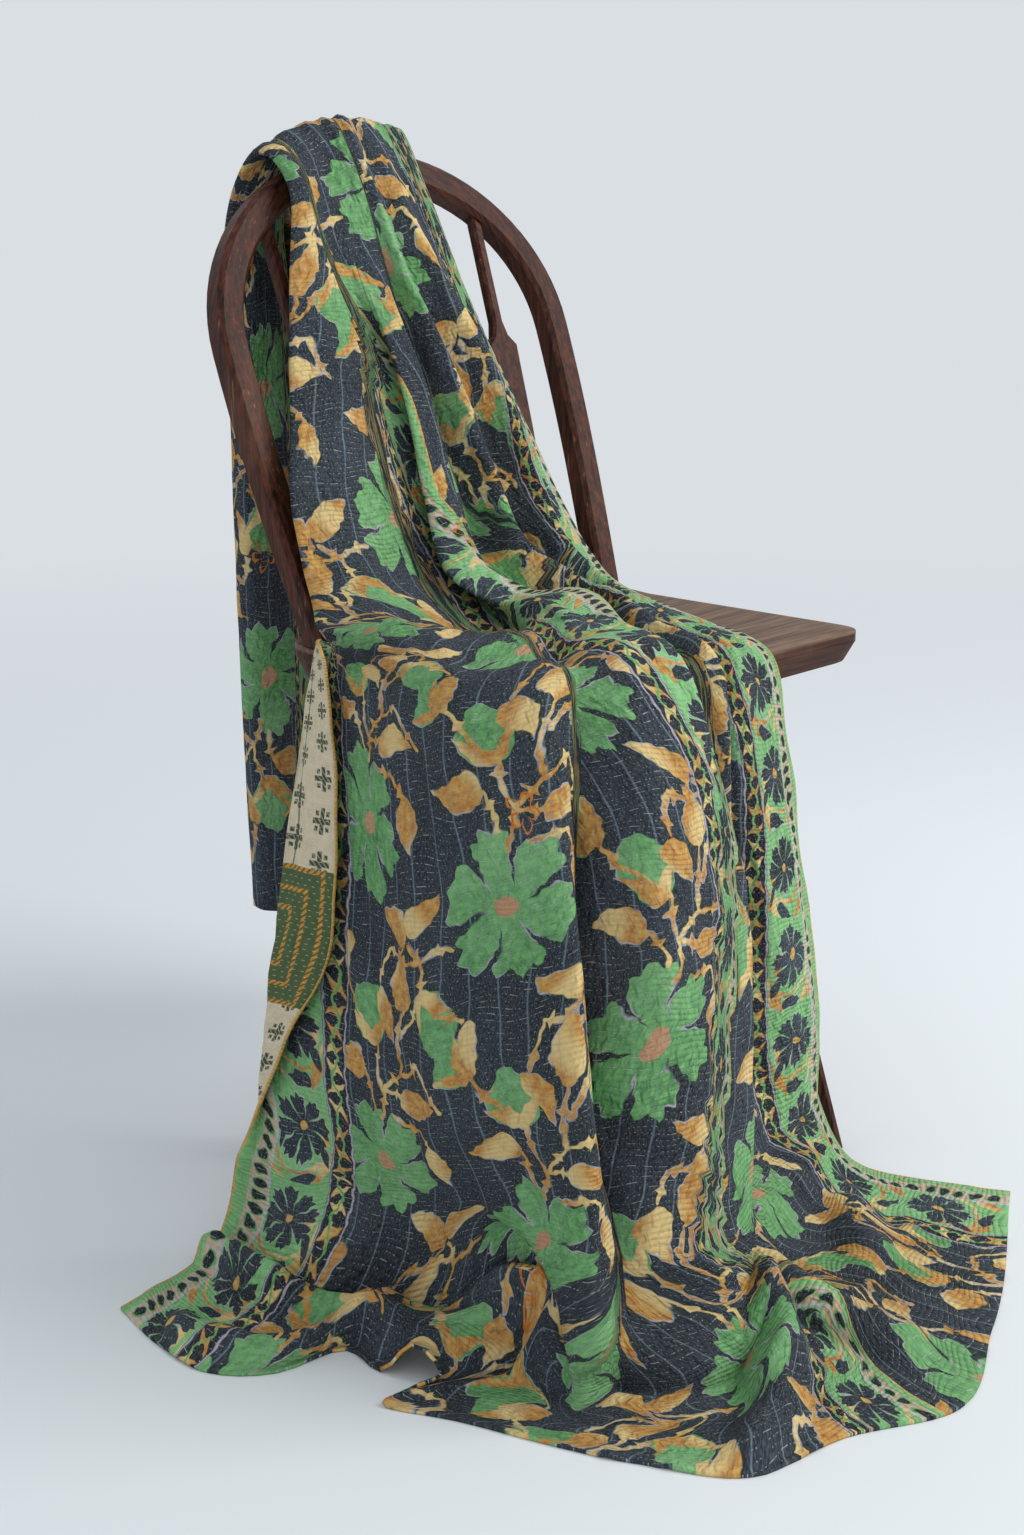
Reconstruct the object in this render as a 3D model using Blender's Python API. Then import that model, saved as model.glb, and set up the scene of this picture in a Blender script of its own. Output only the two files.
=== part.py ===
"""A stitched cotton quilt thrown over a small hoop-back chair.

Metres, +Z up, front of the chair towards -Y, floor at z = 0.  Sizes are laid out from
the point under the middle of the hoop's two ends; the last step moves the origin to
under the middle of everything.  The chair is plain joinery.  The quilt is one thin solid
lofted through named sections, and its folds come from a table with a row for each crease.
"""
import math

import bmesh
import bpy
import numpy as np
from mathutils import Matrix, Vector

# ---------------------------------------------------------------- chair sizes
SEAT_TOP = 0.441          # height of the seat's flat front
SEAT_THICK = 0.026
SEAT_FRONT_HALF = 0.190   # half width at the front edge
SEAT_BACK_HALF = 0.168
SEAT_FRONT_Y = -0.250
SEAT_BACK_Y = 0.034
SEAT_CORNER = 0.026
SEAT_UNDERCUT = 0.006     # how far the underside is cut back from the edge
SEAT_EDGE = 0.011         # depth of the upright part of the edge
SEAT_EASE = 0.0025        # rounding of the top's edge
SEAT_DISH = 0.005         # hollow of the plank under the sitter
SEAT_RIM = 0.004          # rise of the plank behind the sitter
HOOP_BASE_HALF = 0.157
HOOP_MAX_HALF = 0.173
HOOP_MAX_UP = 0.229       # distance up the hoop's plane where it is widest
HOOP_HEIGHT = 0.380
HOOP_LEAN = 20.2          # degrees back from upright
HOOP_WIDE = 0.024
HOOP_DEEP = 0.021
HOOP_STEPS = (10, 20)     # along each upright and along each half of the arch
TENON = 0.016             # how far each piece enters the one that carries it
SHOULDER = 0.0006         # gap under the seat above each leg's shoulder
PLAY = 0.0004             # clearance round every tenon
LEG_TOP = 0.032           # square leg, side at the seat
LEG_FOOT = 0.026          # side at the floor
SPINDLE_FOOT = 0.0128     # how far a spindle enters the seat
SPINDLE_HEAD = 0.008      # how far it enters the hoop
# ---------------------------------------------------------------- quilt sizes
QUILT_THICK = 0.0024
SEAT_GAP = 0.0004         # what parts the cloth from the plank it lies on
EDGE_GAP = 0.0020         # what parts it from a raised edge
SEAT_MARGIN = 0.004       # how far past the plank's outline the cloth is held up
REST_FROM = -0.060        # where, towards the back, the cloth begins to rise over the rim
REST_RISE = 0.045         # the length over which it does
ROWS_PER_SECTION = 3
COLS_PER_CREASE = 2

FINISHES = {  # the piece's name begins with: colour, roughness, metallic
    "quilt": ((0.055, 0.100, 0.065), 0.90, 0.0),
    "hoop": ((0.075, 0.027, 0.017), 0.48, 0.0),
    "seat": ((0.160, 0.110, 0.080), 0.62, 0.0),
    "spindle": ((0.060, 0.022, 0.014), 0.48, 0.0),
    "leg": ((0.066, 0.036, 0.022), 0.52, 0.0),
}

LEGS = [  # name, x and y at the seat, x and y at the floor
    ("leg_front_near", -0.092, -0.164, -0.171, -0.246),
    ("leg_front_far", 0.092, -0.164, 0.171, -0.246),
    ("leg_back_near", -0.100, -0.030, -0.143, 0.046),
    ("leg_back_far", 0.100, -0.030, 0.143, 0.046),
]
SPINDLES = [  # name, x at the seat, x at the hoop
    ("spindle_near_outer", -0.096, -0.112),
    ("spindle_near_inner", -0.034, -0.040),
    ("spindle_far_inner", 0.034, 0.040),
    ("spindle_far_outer", 0.096, 0.112),
]
SPINDLE_SHAPE = [  # share of the length, half width, half depth
    (0.00, 0.0050, 0.0050),
    (0.10, 0.0060, 0.0050),
    (0.45, 0.0150, 0.0045),
    (0.66, 0.0170, 0.0045),
    (0.685, 0.0090, 0.0048),
    (0.72, 0.0055, 0.0052),
    (1.00, 0.0050, 0.0050),
]
# Sections across the quilt, from the hem behind the chair to the hem on the floor.
# Each is carried by four guides: the left edge, two between, and the right edge.
SECTIONS = [  # name, then x, y and z in mm of the left, near, front and right guides
    ("hem_back", (-85, 180, 166), (5, 190, 158), (100, 188, 160), (205, 192, 168)),
    ("hang_low", (-89, 183, 330), (0, 190, 330), (90, 190, 330), (182, 188, 330)),
    ("hang_mid", (-94, 178, 500), (-15, 186, 500), (68, 187, 500), (148, 182, 500)),
    ("hang_high", (-101, 168, 660), (-35, 176, 665), (35, 177, 665), (100, 171, 660)),
    ("nape", (-105, 158, 750), (-55, 165, 765), (0, 165, 770), (56, 159, 760)),
    ("top", (-103, 128, 799), (-58, 130, 818), (-10, 131, 824), (45, 130, 817)),
    ("brow", (-100, 90, 772), (-55, 88, 776), (-8, 88, 776), (42, 87, 765)),
    ("back_high", (-127, 61, 693), (-65, 56, 690), (0, 56, 690), (61, 61, 690)),
    ("back", (-151, 34, 622), (-75, 27, 615), (5, 27, 610), (83, 27, 604)),
    ("back_low", (-173, 8, 553), (-85, 0, 545), (10, 0, 540), (102, 3, 540)),
    ("low", (-180, -14, 495), (-92, -24, 490), (12, -26, 488), (122, -22, 480)),
    ("nook", (-190, -34, 468), (-105, -78, 462), (15, -80, 462), (118, -55, 458)),
    ("roll", (-203, -48, 466), (-160, -145, 474), (-30, -150, 474), (72, -140, 458)),
    ("dip", (-210, -56, 460), (-200, -195, 466), (-85, -215, 467), (50, -215, 456)),
    ("lip", (-215, -61, 446), (-232, -236, 464), (-140, -288, 466), (22, -286, 450)),
    ("drop_high", (-222, -55, 392), (-252, -260, 395), (-164, -322, 391), (38, -291, 375)),
    ("drop", (-236, -42, 270), (-260, -277, 290), (-178, -344, 295), (66, -288, 275)),
    ("drop_low", (-253, -37, 160), (-268, -298, 185), (-186, -370, 180), (98, -283, 165)),
    ("shin", (-271, -30, 70), (-274, -308, 115), (-184, -392, 95), (121, -271, 70)),
]
# Sections of the pool on the floor, between the shin and the front hem.
POOL = [  # name, share of the way to the hem, share of the shin's height left
    ("pocket", 0.08, 0.50),
    ("roll_top", 0.19, 0.20),
    ("gully", 0.31, 0.09),
    ("flap_top", 0.43, 0.055),
    ("trough", 0.56, 0.040),
    ("bank", 0.70, 0.028),
    ("floor", 0.85, 0.012),
    ("hem_front", 1.00, 0.000),
]

# Creases, a row for each line that runs the length of the quilt.  `at` is where the
# crease lies across a section (0 left, 1 right); `lift` is mm off the section.
CREASE_ZONES = ["hem_back", "hang_mid", "nape", "top", "brow", "back", "low", "nook", "roll", "dip", "lip",
                "drop", "drop_low", "shin"]
CREASES = [  # name, metres from the left edge, at in each zone, lift in each zone
    ("left_edge", 0.00,
     (0.17, 0.19, 0.30, 0.50, 0.55, 0.60, 0.52, 0.24, 0.00, 0.01, 0.04, 0.105, 0.045, 0.00),
     (-34, -30, -13, -9, -11, -12, -12, -21, -10, 5, 8, 10, 14, 9)),
    ("left_strip", 0.065,
     (0.08, 0.09, 0.18, 0.36, 0.40, 0.45, 0.38, 0.17, 0.02, 0.00, 0.00, 0.00, 0.00, 0.03),
     (-28, -26, -12, -9, -11, -12, -12, -21, -9, -1, 3, 4, 3, 0)),
    ("left_border", 0.10,
     (0.00, 0.00, 0.10, 0.22, 0.27, 0.30, 0.26, 0.10, 0.05, 0.035, 0.04, 0.11, 0.10, 0.10),
     (-6, -9, -10, -9, -11, -12, -12, -19, -6, -5, -4, -3, 0, 1)),
    ("left_fold", 0.20,
     (0.06, 0.05, 0.00, 0.00, 0.00, 0.00, 0.00, 0.00, 0.09, 0.10, 0.12, 0.20, 0.20, 0.19),
     (18, 14, 5, 0, -3, -3, -3, -2, -2, -1, 0, 3, 1, -10)),
    ("panel", 0.27,
     (0.12, 0.12, 0.07, 0.06, 0.05, 0.17, 0.18, 0.17, 0.20, 0.22, 0.25, 0.29, 0.28, 0.26),
     (-14, -15, 3, 2, 2, 5, 8, 8, 7, 6, 5, 6, 1, -14)),
    ("valley_1", 0.33,
     (0.18, 0.19, 0.14, 0.12, 0.11, 0.36, 0.38, 0.36, 0.34, 0.35, 0.36, 0.38, 0.37, 0.35),
     (24, 24, 14, -2, 0, -6, -7, -4, -1, 0, 0, -1, -3, -14)),
    ("under_1", 0.43,
     (0.27, 0.26, 0.22, 0.22, 0.20, 0.51, 0.54, 0.52, 0.50, 0.49, 0.49, 0.51, 0.50, 0.47),
     (-42, -34, 2, 2, -3, -8, -9, -14, -8, 3, 4, 4, 4, 4)),
    ("under_2", 0.49,
     (0.34, 0.34, 0.31, 0.30, 0.28, 0.47, 0.48, 0.49, 0.53, 0.55, 0.565, 0.565, 0.56, 0.55),
     (18, 18, 12, -3, -4, 1, 1, 3, 0, -3, -6, -34, -34, -24)),
    ("pleat_1", 0.56,
     (0.40, 0.41, 0.38, 0.37, 0.34, 0.43, 0.43, 0.47, 0.56, 0.61, 0.66, 0.68, 0.69, 0.72),
     (-44, -40, -3, 3, -5, 8, 9, 10, 9, 8, 10, 16, 14, 14)),
    ("join_in", 0.63,
     (0.47, 0.46, 0.46, 0.45, 0.40, 0.50, 0.49, 0.56, 0.67, 0.72, 0.76, 0.815, 0.785, 0.775),
     (26, 22, 14, -3, -4, 13, 16, 14, 12, 12, 12, 22, 20, 8)),
    ("join_out", 0.71,
     (0.53, 0.54, 0.52, 0.51, 0.45, 0.55, 0.57, 0.62, 0.71, 0.75, 0.79, 0.81, 0.795, 0.80),
     (-38, -36, -3, 2, 0, 2, 4, 3, 2, 0, -2, -14, -14, -8)),
    ("valley_2", 0.75,
     (0.60, 0.59, 0.58, 0.56, 0.48, 0.59, 0.63, 0.68, 0.74, 0.78, 0.81, 0.835, 0.815, 0.82),
     (20, 20, 13, -2, 2, -9, -11, -12, -12, -10, -7, -42, -44, -30)),
    ("pleat_2", 0.82,
     (0.66, 0.67, 0.66, 0.62, 0.52, 0.65, 0.70, 0.75, 0.79, 0.82, 0.845, 0.865, 0.85, 0.86),
     (-46, -38, -4, 4, 6, 18, 20, 15, 10, 9, 9, -12, -20, -18)),
    ("valley_3", 0.88,
     (0.74, 0.73, 0.73, 0.69, 0.60, 0.75, 0.775, 0.80, 0.83, 0.85, 0.87, 0.88, 0.88, 0.90),
     (20, 22, 13, -2, -1, -7, -9, -5, -3, -3, -4, -24, -26, -16)),
    ("pleat_3", 0.94,
     (0.81, 0.81, 0.81, 0.78, 0.70, 0.85, 0.84, 0.86, 0.87, 0.88, 0.885, 0.895, 0.91, 0.93),
     (-40, -34, -3, 3, 6, 18, 19, 13, 4, 2, 0, -6, -8, -6)),
    ("right_border", 1.00,
     (0.88, 0.89, 0.89, 0.87, 0.83, 0.92, 0.89, 0.91, 0.91, 0.91, 0.91, 0.905, 0.93, 0.955),
     (24, 20, 12, -1, -2, 3, 3, 3, 5, 4, 4, 4, 0, 0)),
    ("right_strip", 1.05,
     (0.96, 0.96, 0.96, 0.95, 0.93, 0.98, 0.96, 0.96, 0.96, 0.95, 0.95, 0.95, 0.965, 0.98),
     (-12, -8, 2, 1, 0, -3, 1, 2, 3, 4, 4, 6, 4, 2)),
    ("right_edge", 1.10,
     (1.00, 1.00, 1.00, 1.00, 1.00, 1.00, 1.00, 1.00, 1.00, 1.00, 1.00, 1.00, 1.00, 1.00),
     (-34, -26, -6, -3, -4, -8, -7, -2, 0, 0, 0, 0, 0, 0)),
]

# Where the front hem lies on the floor, going round from the left corner.
HEM = [  # name, metres from the left edge, x, y, z
    ("left_corner", 0.000, -0.402, -0.046, 0.000),
    ("border_middle", 0.050, -0.412, -0.106, 0.000),
    ("flap_round", 0.105, -0.407, -0.160, 0.000),
    ("flap_foot", 0.150, -0.376, -0.190, 0.000),
    ("notch", 0.200, -0.324, -0.203, 0.002),
    ("small_point", 0.235, -0.326, -0.238, 0.003),
    ("tuck_crest", 0.262, -0.316, -0.262, 0.026),
    ("tuck_right", 0.285, -0.311, -0.284, 0.012),
    ("tuck_left", 0.318, -0.350, -0.269, 0.003),
    ("sheet_near", 0.365, -0.331, -0.314, 0.000),
    ("sheet_left", 0.496, -0.281, -0.435, 0.000),
    ("sheet_front", 0.567, -0.242, -0.494, 0.000),
    ("join_inner", 0.640, -0.166, -0.511, 0.000),
    ("join_outer", 0.720, -0.090, -0.545, 0.000),
    ("right_front", 0.835, 0.014, -0.507, 0.000),
    ("right_corner", 1.100, 0.200, -0.406, 0.000),
]

# Folds that run across or aslant.  Each moves the cloth round a line that goes from one
# point of it to another: a section counted by name, `at` in metres from the left edge.
FOLDS = [  # name, section, at, section, at, half length along, half width, mm in x, y and z
    ("seat_crease", "dip", 0.34, "dip", 0.50, 0.60, 0.050, 0, 0, -7),
    ("roll_left", "pocket", 0.13, "pocket", 0.27, 1.60, 0.070, 2, -6, 26),
    ("flap_ridge", "gully", 0.02, "gully", 0.18, 0.90, 0.055, 0, 0, 22),
    ("ridge_low", "floor", 0.07, "bank", 0.18, 1.20, 0.050, 0, 0, 15),
    ("ridge_high", "bank", 0.22, "flap_top", 0.26, 1.50, 0.070, 3, -5, 30),
    ("loop_shift", "gully", 0.30, "flap_top", 0.30, 3.60, 0.150, 32, -32, 0),
    ("loop_top", "roll_top", 0.30, "gully", 0.29, 2.00, 0.090, 6, -6, 46),
    ("panel_break", "pocket", 0.46, "roll_top", 0.57, 0.90, 0.080, -7, -9, 6),
    ("arch_top", "roll_top", 0.63, "flap_top", 0.62, 1.50, 0.065, 4, -4, 42),
    ("arch_foot", "trough", 0.61, "floor", 0.58, 1.00, 0.045, 0, 0, 20),
    ("right_edge_fold", "pocket", 0.77, "bank", 0.765, 1.00, 0.040, 0, 0, 18),
    ("right_hump", "gully", 0.95, "flap_top", 0.90, 1.30, 0.060, 0, 0, 15),
]


# ---------------------------------------------------------------- small helpers
def slopes(xs, ys, keep_order):
    """Tangents of a cubic through the points; `keep_order` stops it overshooting."""
    xs, ys = np.asarray(xs, float), np.asarray(ys, float)
    step = np.diff(xs)
    step = step.reshape((-1,) + (1,) * (ys.ndim - 1))
    rise = np.diff(ys, axis=0) / step
    out = np.empty_like(ys)
    out[0], out[-1] = rise[0], rise[-1]
    a, b = step[:-1], step[1:]
    if keep_order:
        same = rise[:-1] * rise[1:] > 0
        w1, w2 = 2 * b + a, b + 2 * a
        safe0 = np.where(same, rise[:-1], 1.0)
        safe1 = np.where(same, rise[1:], 1.0)
        out[1:-1] = np.where(same, (w1 + w2) / (w1 / safe0 + w2 / safe1), 0.0)
    else:
        out[1:-1] = (rise[:-1] * b + rise[1:] * a) / (a + b)
    return out


def cubic(xs, ys, at, keep_order=False):
    """Values at `at` of the cubic through (xs, ys); ys may hold vectors."""
    xs, ys, at = np.asarray(xs, float), np.asarray(ys, float), np.asarray(at, float)
    m = slopes(xs, ys, keep_order)
    k = np.clip(np.searchsorted(xs, at, side="right") - 1, 0, len(xs) - 2)
    h = xs[k + 1] - xs[k]
    t = np.clip((at - xs[k]) / h, 0.0, 1.0)
    shape = (-1,) + (1,) * (ys.ndim - 1)
    h, t = h.reshape(shape), t.reshape(shape)
    return ((1 + 2 * t) * (1 - t) ** 2 * ys[k] + t * (1 - t) ** 2 * h * m[k]
            + t * t * (3 - 2 * t) * ys[k + 1] + t * t * (t - 1) * h * m[k + 1])


def between(values, parts):
    """The values with `parts` - 1 even steps put between each pair."""
    out = []
    for a, b in zip(values[:-1], values[1:]):
        out += [a + (b - a) * i / parts for i in range(parts)]
    return np.array(out + [values[-1]])


def smooth_bump(d):
    """1 at 0, falling smoothly to 0 at 1."""
    d = np.clip(np.abs(d), 0.0, 1.0)
    return (1 - d * d) ** 2


# ---------------------------------------------------------------- the quilt's sheet
def quilt_sheet(rows_per, cols_per):
    """Middle surface of the draped quilt: points[row, col], and each row and col's
    place along the sections and across the cloth."""
    names = [row[0] for row in SECTIONS + POOL]
    rails = np.array([row[1:] for row in SECTIONS]) / 1000.0    # section, guide, xyz
    place = between(np.arange(len(names), dtype=float), rows_per)
    across = between([row[1] for row in CREASES], cols_per)

    shin = len(SECTIONS) - 1
    hung = np.minimum(place, shin)
    guides = np.stack([cubic(np.arange(shin + 1), rails[:, g], hung) for g in range(4)], axis=1)
    zones = [names.index(z) for z in CREASE_ZONES]
    crease_v = [row[1] for row in CREASES]
    at_zone = np.array([row[2] for row in CREASES])             # crease, zone
    lift_zone = np.array([row[3] for row in CREASES]) / 1000.0
    at_row = cubic(zones, at_zone.T, hung, True)                # row, crease
    lift_row = cubic(zones, lift_zone.T, hung, True)

    rows, cols = len(place), len(across)
    base = np.empty((rows, cols, 3))
    lift = np.empty((rows, cols))
    even = np.linspace(0.0, 1.0, 61)
    plain = np.empty((rows, 61, 3))
    at = np.empty((rows, cols))
    for r in range(rows):
        at[r] = cubic(crease_v, at_row[r], across, True)
        lift[r] = cubic(crease_v, lift_row[r], across, True)
        base[r] = cubic([0, 1 / 3, 2 / 3, 1], guides[r], at[r])
        plain[r] = cubic([0, 1 / 3, 2 / 3, 1], guides[r], even)
    along = np.gradient(plain, axis=0)
    along[shin * rows_per:] = along[shin * rows_per - 1]
    aside = np.gradient(plain, axis=1)
    normal = np.cross(along, aside)
    normal /= np.linalg.norm(normal, axis=2, keepdims=True)
    out = np.empty_like(base)
    for r in range(rows):
        facing = np.stack([np.interp(at[r], even, normal[r, :, k]) for k in range(3)], axis=1)
        facing /= np.linalg.norm(facing, axis=1, keepdims=True)
        out[r] = base[r] + facing * lift[r][:, None]

    hem_line = cubic([row[1] for row in HEM], [row[2:] for row in HEM], across)
    steps = np.arange(shin, len(names))
    toward = cubic(steps, [0.0] + [row[1] for row in POOL], place, True)[:, None, None]
    height = cubic(steps, [1.0] + [row[2] for row in POOL], place, True)[:, None]
    foot = out[shin * rows_per]
    pool = foot + (hem_line - foot) * toward
    pool[..., 2] = foot[:, 2] * height + hem_line[:, 2] * toward[..., 0]
    out = np.where((place > shin)[:, None, None], pool, out)

    grid_p, grid_v = np.meshgrid(place, across, indexing="ij")
    for name, from_sec, from_v, to_sec, to_v, half_along, half_across, *move in FOLDS:
        p0, p1 = names.index(from_sec), names.index(to_sec)
        du, dv = (p1 - p0) / half_along, (to_v - from_v) / half_across
        u, v = (grid_p - p0) / half_along, (grid_v - from_v) / half_across
        t = np.clip((u * du + v * dv) / max(du * du + dv * dv, 1e-9), 0.0, 1.0)
        off = np.hypot(u - t * du, v - t * dv)
        out = out + smooth_bump(off)[..., None] * np.array(move) / 1000.0
    return rested_on_seat(out), place, across


def rested_on_seat(points):
    """Lifts what would sink into the plank, so that the cloth lies flat on it there."""
    x, y, z = points[..., 0], points[..., 1], points[..., 2]
    toward_back = (y - SEAT_FRONT_Y) / (SEAT_BACK_Y - SEAT_FRONT_Y)
    half = SEAT_FRONT_HALF + (SEAT_BACK_HALF - SEAT_FRONT_HALF) * toward_back
    over = (np.abs(x) < half + SEAT_MARGIN) & (z > SEAT_TOP - SEAT_THICK)
    over &= (y > SEAT_FRONT_Y - SEAT_MARGIN) & (y < SEAT_BACK_Y + SEAT_MARGIN)
    rim = np.clip((y - REST_FROM) / REST_RISE, 0.0, 1.0) * (SEAT_RIM + EDGE_GAP)
    lowest = SEAT_TOP + SEAT_GAP + QUILT_THICK / 2 + rim
    lifted = np.array(points)
    lifted[..., 2] = np.where(over, np.maximum(z, lowest), z)
    return lifted


def sheet_normals(points):
    """Unit normals on the printed side.  Each cell counts alike, so that at the edge of
    a tight fold the normal points straight out of the fold."""
    one, two = points[1:, 1:] - points[:-1, :-1], points[:-1, 1:] - points[1:, :-1]
    cell = np.cross(one, two)
    cell /= np.maximum(np.linalg.norm(cell, axis=2, keepdims=True), 1e-12)
    total = np.zeros_like(points)
    for down, aside in ((0, 0), (0, 1), (1, 0), (1, 1)):
        total[down:down + cell.shape[0], aside:aside + cell.shape[1]] += cell
    return total / np.maximum(np.linalg.norm(total, axis=2, keepdims=True), 1e-12)


def quilt(name):
    """The sheet given its thickness: a printed side and a reverse, joined all round."""
    points, _, _ = quilt_sheet(ROWS_PER_SECTION, COLS_PER_CREASE)
    face = sheet_normals(points) * QUILT_THICK / 2
    printed, reverse = points + face, points - face
    sunk = np.minimum(np.minimum(printed[..., 2], reverse[..., 2]), 0.0)
    printed[..., 2] -= sunk
    reverse[..., 2] -= sunk
    rows, cols = points.shape[:2]
    mesh = bmesh.new()
    for side in (printed, reverse):
        grid = bmesh.ops.create_grid(mesh, x_segments=cols - 1, y_segments=rows - 1, size=0.5)
        for vert in grid["verts"]:
            row, col = round((vert.co.y + 0.5) * (rows - 1)), round((vert.co.x + 0.5) * (cols - 1))
            vert.co = side[row, col]
    bmesh.ops.bridge_loops(mesh, edges=[edge for edge in mesh.edges if edge.is_boundary])
    return finish(mesh, name)


# ---------------------------------------------------------------- the chair's pieces
def finish(mesh, name, sharp=40.0):
    """Makes the closed mesh an object with its own finish."""
    bmesh.ops.recalc_face_normals(mesh, faces=mesh.faces[:])
    data = bpy.data.meshes.new(name)
    mesh.to_mesh(data)
    mesh.free()
    data.shade_smooth()
    data.set_sharp_from_angle(angle=math.radians(sharp))
    data.materials.append(material(name))
    piece = bpy.data.objects.new(name, data)
    bpy.context.scene.collection.objects.link(piece)
    return piece


def material(name):
    colour, roughness, metallic = next(f for kind, f in FINISHES.items() if name.startswith(kind))
    made = bpy.data.materials.new(name)
    made.use_nodes = True
    shader = made.node_tree.nodes["Principled BSDF"]
    shader.inputs["Base Color"].default_value = (*colour, 1.0)
    shader.inputs["Roughness"].default_value = roughness
    shader.inputs["Metallic"].default_value = metallic
    return made


def lofted(rings):
    """A closed mesh through rings of equal count: the first one's face, extruded."""
    mesh = bmesh.new()
    end = mesh.faces.new([mesh.verts.new(point) for point in rings[0]])
    for step, (before, after) in enumerate(zip(rings, rings[1:])):
        grown = bmesh.ops.extrude_face_region(mesh, geom=[end])["geom"]
        if step:
            bmesh.ops.delete(mesh, geom=[end], context="FACES_ONLY")
        end = next(part for part in grown if isinstance(part, bmesh.types.BMFace))
        for vert in end.verts:
            nearest = min(range(len(before)), key=lambda i: (vert.co - Vector(before[i])).length)
            vert.co = after[nearest]
    return mesh, end


def bar(name, stations, corner=0.35):
    """A bar with eased corners.  Each station has its middle, its two side directions
    and its half width and half depth along them."""
    rings = []
    for middle, wide, deep, half_wide, half_deep in stations:
        ease = corner * min(half_wide, half_deep)
        ring = []
        for sx, sy in ((1, 1), (-1, 1), (-1, -1), (1, -1)):
            cuts = [(half_wide, half_deep - ease), (half_wide - ease, half_deep)]
            for a, b in cuts if sx * sy > 0 else cuts[::-1]:
                ring.append(Vector(middle) + Vector(wide) * (a * sx) + Vector(deep) * (b * sy))
        rings.append(ring)
    mesh, _ = lofted(rings)
    return finish(mesh, name)


def lean_point(x, up, out=0.0):
    """A point of the leaning back: across it, up it, and out towards the sitter."""
    a = math.radians(HOOP_LEAN)
    y, z = up * math.sin(a) - out * math.cos(a), up * math.cos(a) + out * math.sin(a)
    return np.array([x, y, SEAT_TOP + z])


def lean_direction(x, up, out=0.0):
    return lean_point(x, up, out) - lean_point(0.0, 0.0)


def hoop_line():
    """Centre line of the hoop in its plane, as (x, up), base to base."""
    steps_up, steps_arch = HOOP_STEPS
    half = []
    for i in range(steps_up):
        t = i / steps_up
        spread = (HOOP_MAX_HALF - HOOP_BASE_HALF) * math.sin(t * math.pi / 2)
        half.append((HOOP_BASE_HALF + spread, HOOP_MAX_UP * t))
    rise = HOOP_HEIGHT - HOOP_WIDE / 2 - HOOP_MAX_UP
    for i in range(steps_arch + 1):
        a = math.pi / 2 * i / steps_arch
        half.append((HOOP_MAX_HALF * math.cos(a), HOOP_MAX_UP + rise * math.sin(a)))
    return [(-x, up) for x, up in half] + [(x, up) for x, up in half[-2::-1]]


def hoop(name, grow=0.0):
    line = hoop_line()
    sunk = -TENON - grow
    line = [(line[0][0], sunk)] + line + [(line[-1][0], sunk)]
    stations = []
    for i, (x, up) in enumerate(line):
        before, after = line[max(i - 1, 0)], line[min(i + 1, len(line) - 1)]
        way = Vector((after[0] - before[0], after[1] - before[1])).normalized()
        wide, deep = lean_direction(way[1], -way[0]), lean_direction(0.0, 0.0, 1.0)
        stations.append((lean_point(x, up), wide, deep, HOOP_WIDE / 2 + grow, HOOP_DEEP / 2 + grow))
    return bar(name, stations)


def hoop_up_at(x):
    """Height up the hoop's plane of its centre line at x."""
    rise = HOOP_HEIGHT - HOOP_WIDE / 2 - HOOP_MAX_UP
    return HOOP_MAX_UP + rise * math.sqrt(max(0.0, 1 - (x / HOOP_MAX_HALF) ** 2))


def spindle(name, x_seat, x_hoop, grow=0.0):
    low, high = -SPINDLE_FOOT - grow, hoop_up_at(x_hoop) - HOOP_WIDE / 2 + SPINDLE_HEAD + grow
    stations = []
    for share, half_wide, half_deep in SPINDLE_SHAPE:
        middle = lean_point(x_seat + (x_hoop - x_seat) * share, low + (high - low) * share)
        wide, deep = lean_direction(1.0, 0.0), lean_direction(0.0, 0.0, 1.0)
        stations.append((middle, wide, deep, half_wide + grow, half_deep + grow))
    return bar(name, stations, 0.45)


def leg(name, x_top, y_top, x_foot, y_foot, grow=0.0):
    """A square tapered leg; the last of it is a narrower tenon in the seat."""
    top = Vector((x_top, y_top, SEAT_TOP - SEAT_THICK - SHOULDER))
    foot = Vector((x_foot, y_foot, 0.0))
    lean = (top - foot) / top.z
    turn = Matrix.Rotation(math.atan2(y_foot - y_top, x_foot - x_top), 3, "Z")
    wide, deep = turn @ Vector((1, 0, 0)), turn @ Vector((0, 1, 0))
    tenon = LEG_TOP * 0.34
    rows = [(0.0, LEG_FOOT / 2), (top.z / 2, (LEG_FOOT + LEG_TOP) / 4), (top.z, LEG_TOP / 2),
            (top.z + PLAY / 2, tenon), (top.z + TENON - SHOULDER + grow, tenon)]
    stations = [(foot + lean * up, wide, deep, half + grow, half + grow) for up, half in rows]
    return bar(name, stations, 0.25)


def seat_outline(inset):
    """The plank seen from above with its corners rounded, going round anticlockwise."""
    front, back = SEAT_FRONT_HALF - inset, SEAT_BACK_HALF - inset
    corners = [(-front, SEAT_FRONT_Y + inset), (front, SEAT_FRONT_Y + inset),
               (back, SEAT_BACK_Y - inset), (-back, SEAT_BACK_Y - inset)]
    out = []
    for i, corner in enumerate(corners):
        c, before, after = Vector(corner), Vector(corners[i - 1]), Vector(corners[(i + 1) % 4])
        a, b = c + (before - c).normalized() * SEAT_CORNER, c + (after - c).normalized() * SEAT_CORNER
        out += [a * (1 - t) ** 2 + c * 2 * t * (1 - t) + b * t * t for t in np.linspace(0.0, 1.0, 6)]
        far = after + (c - after).normalized() * SEAT_CORNER
        out += [b + (far - b) * t for t in (0.2, 0.4, 0.6, 0.8)]
    return out


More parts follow.
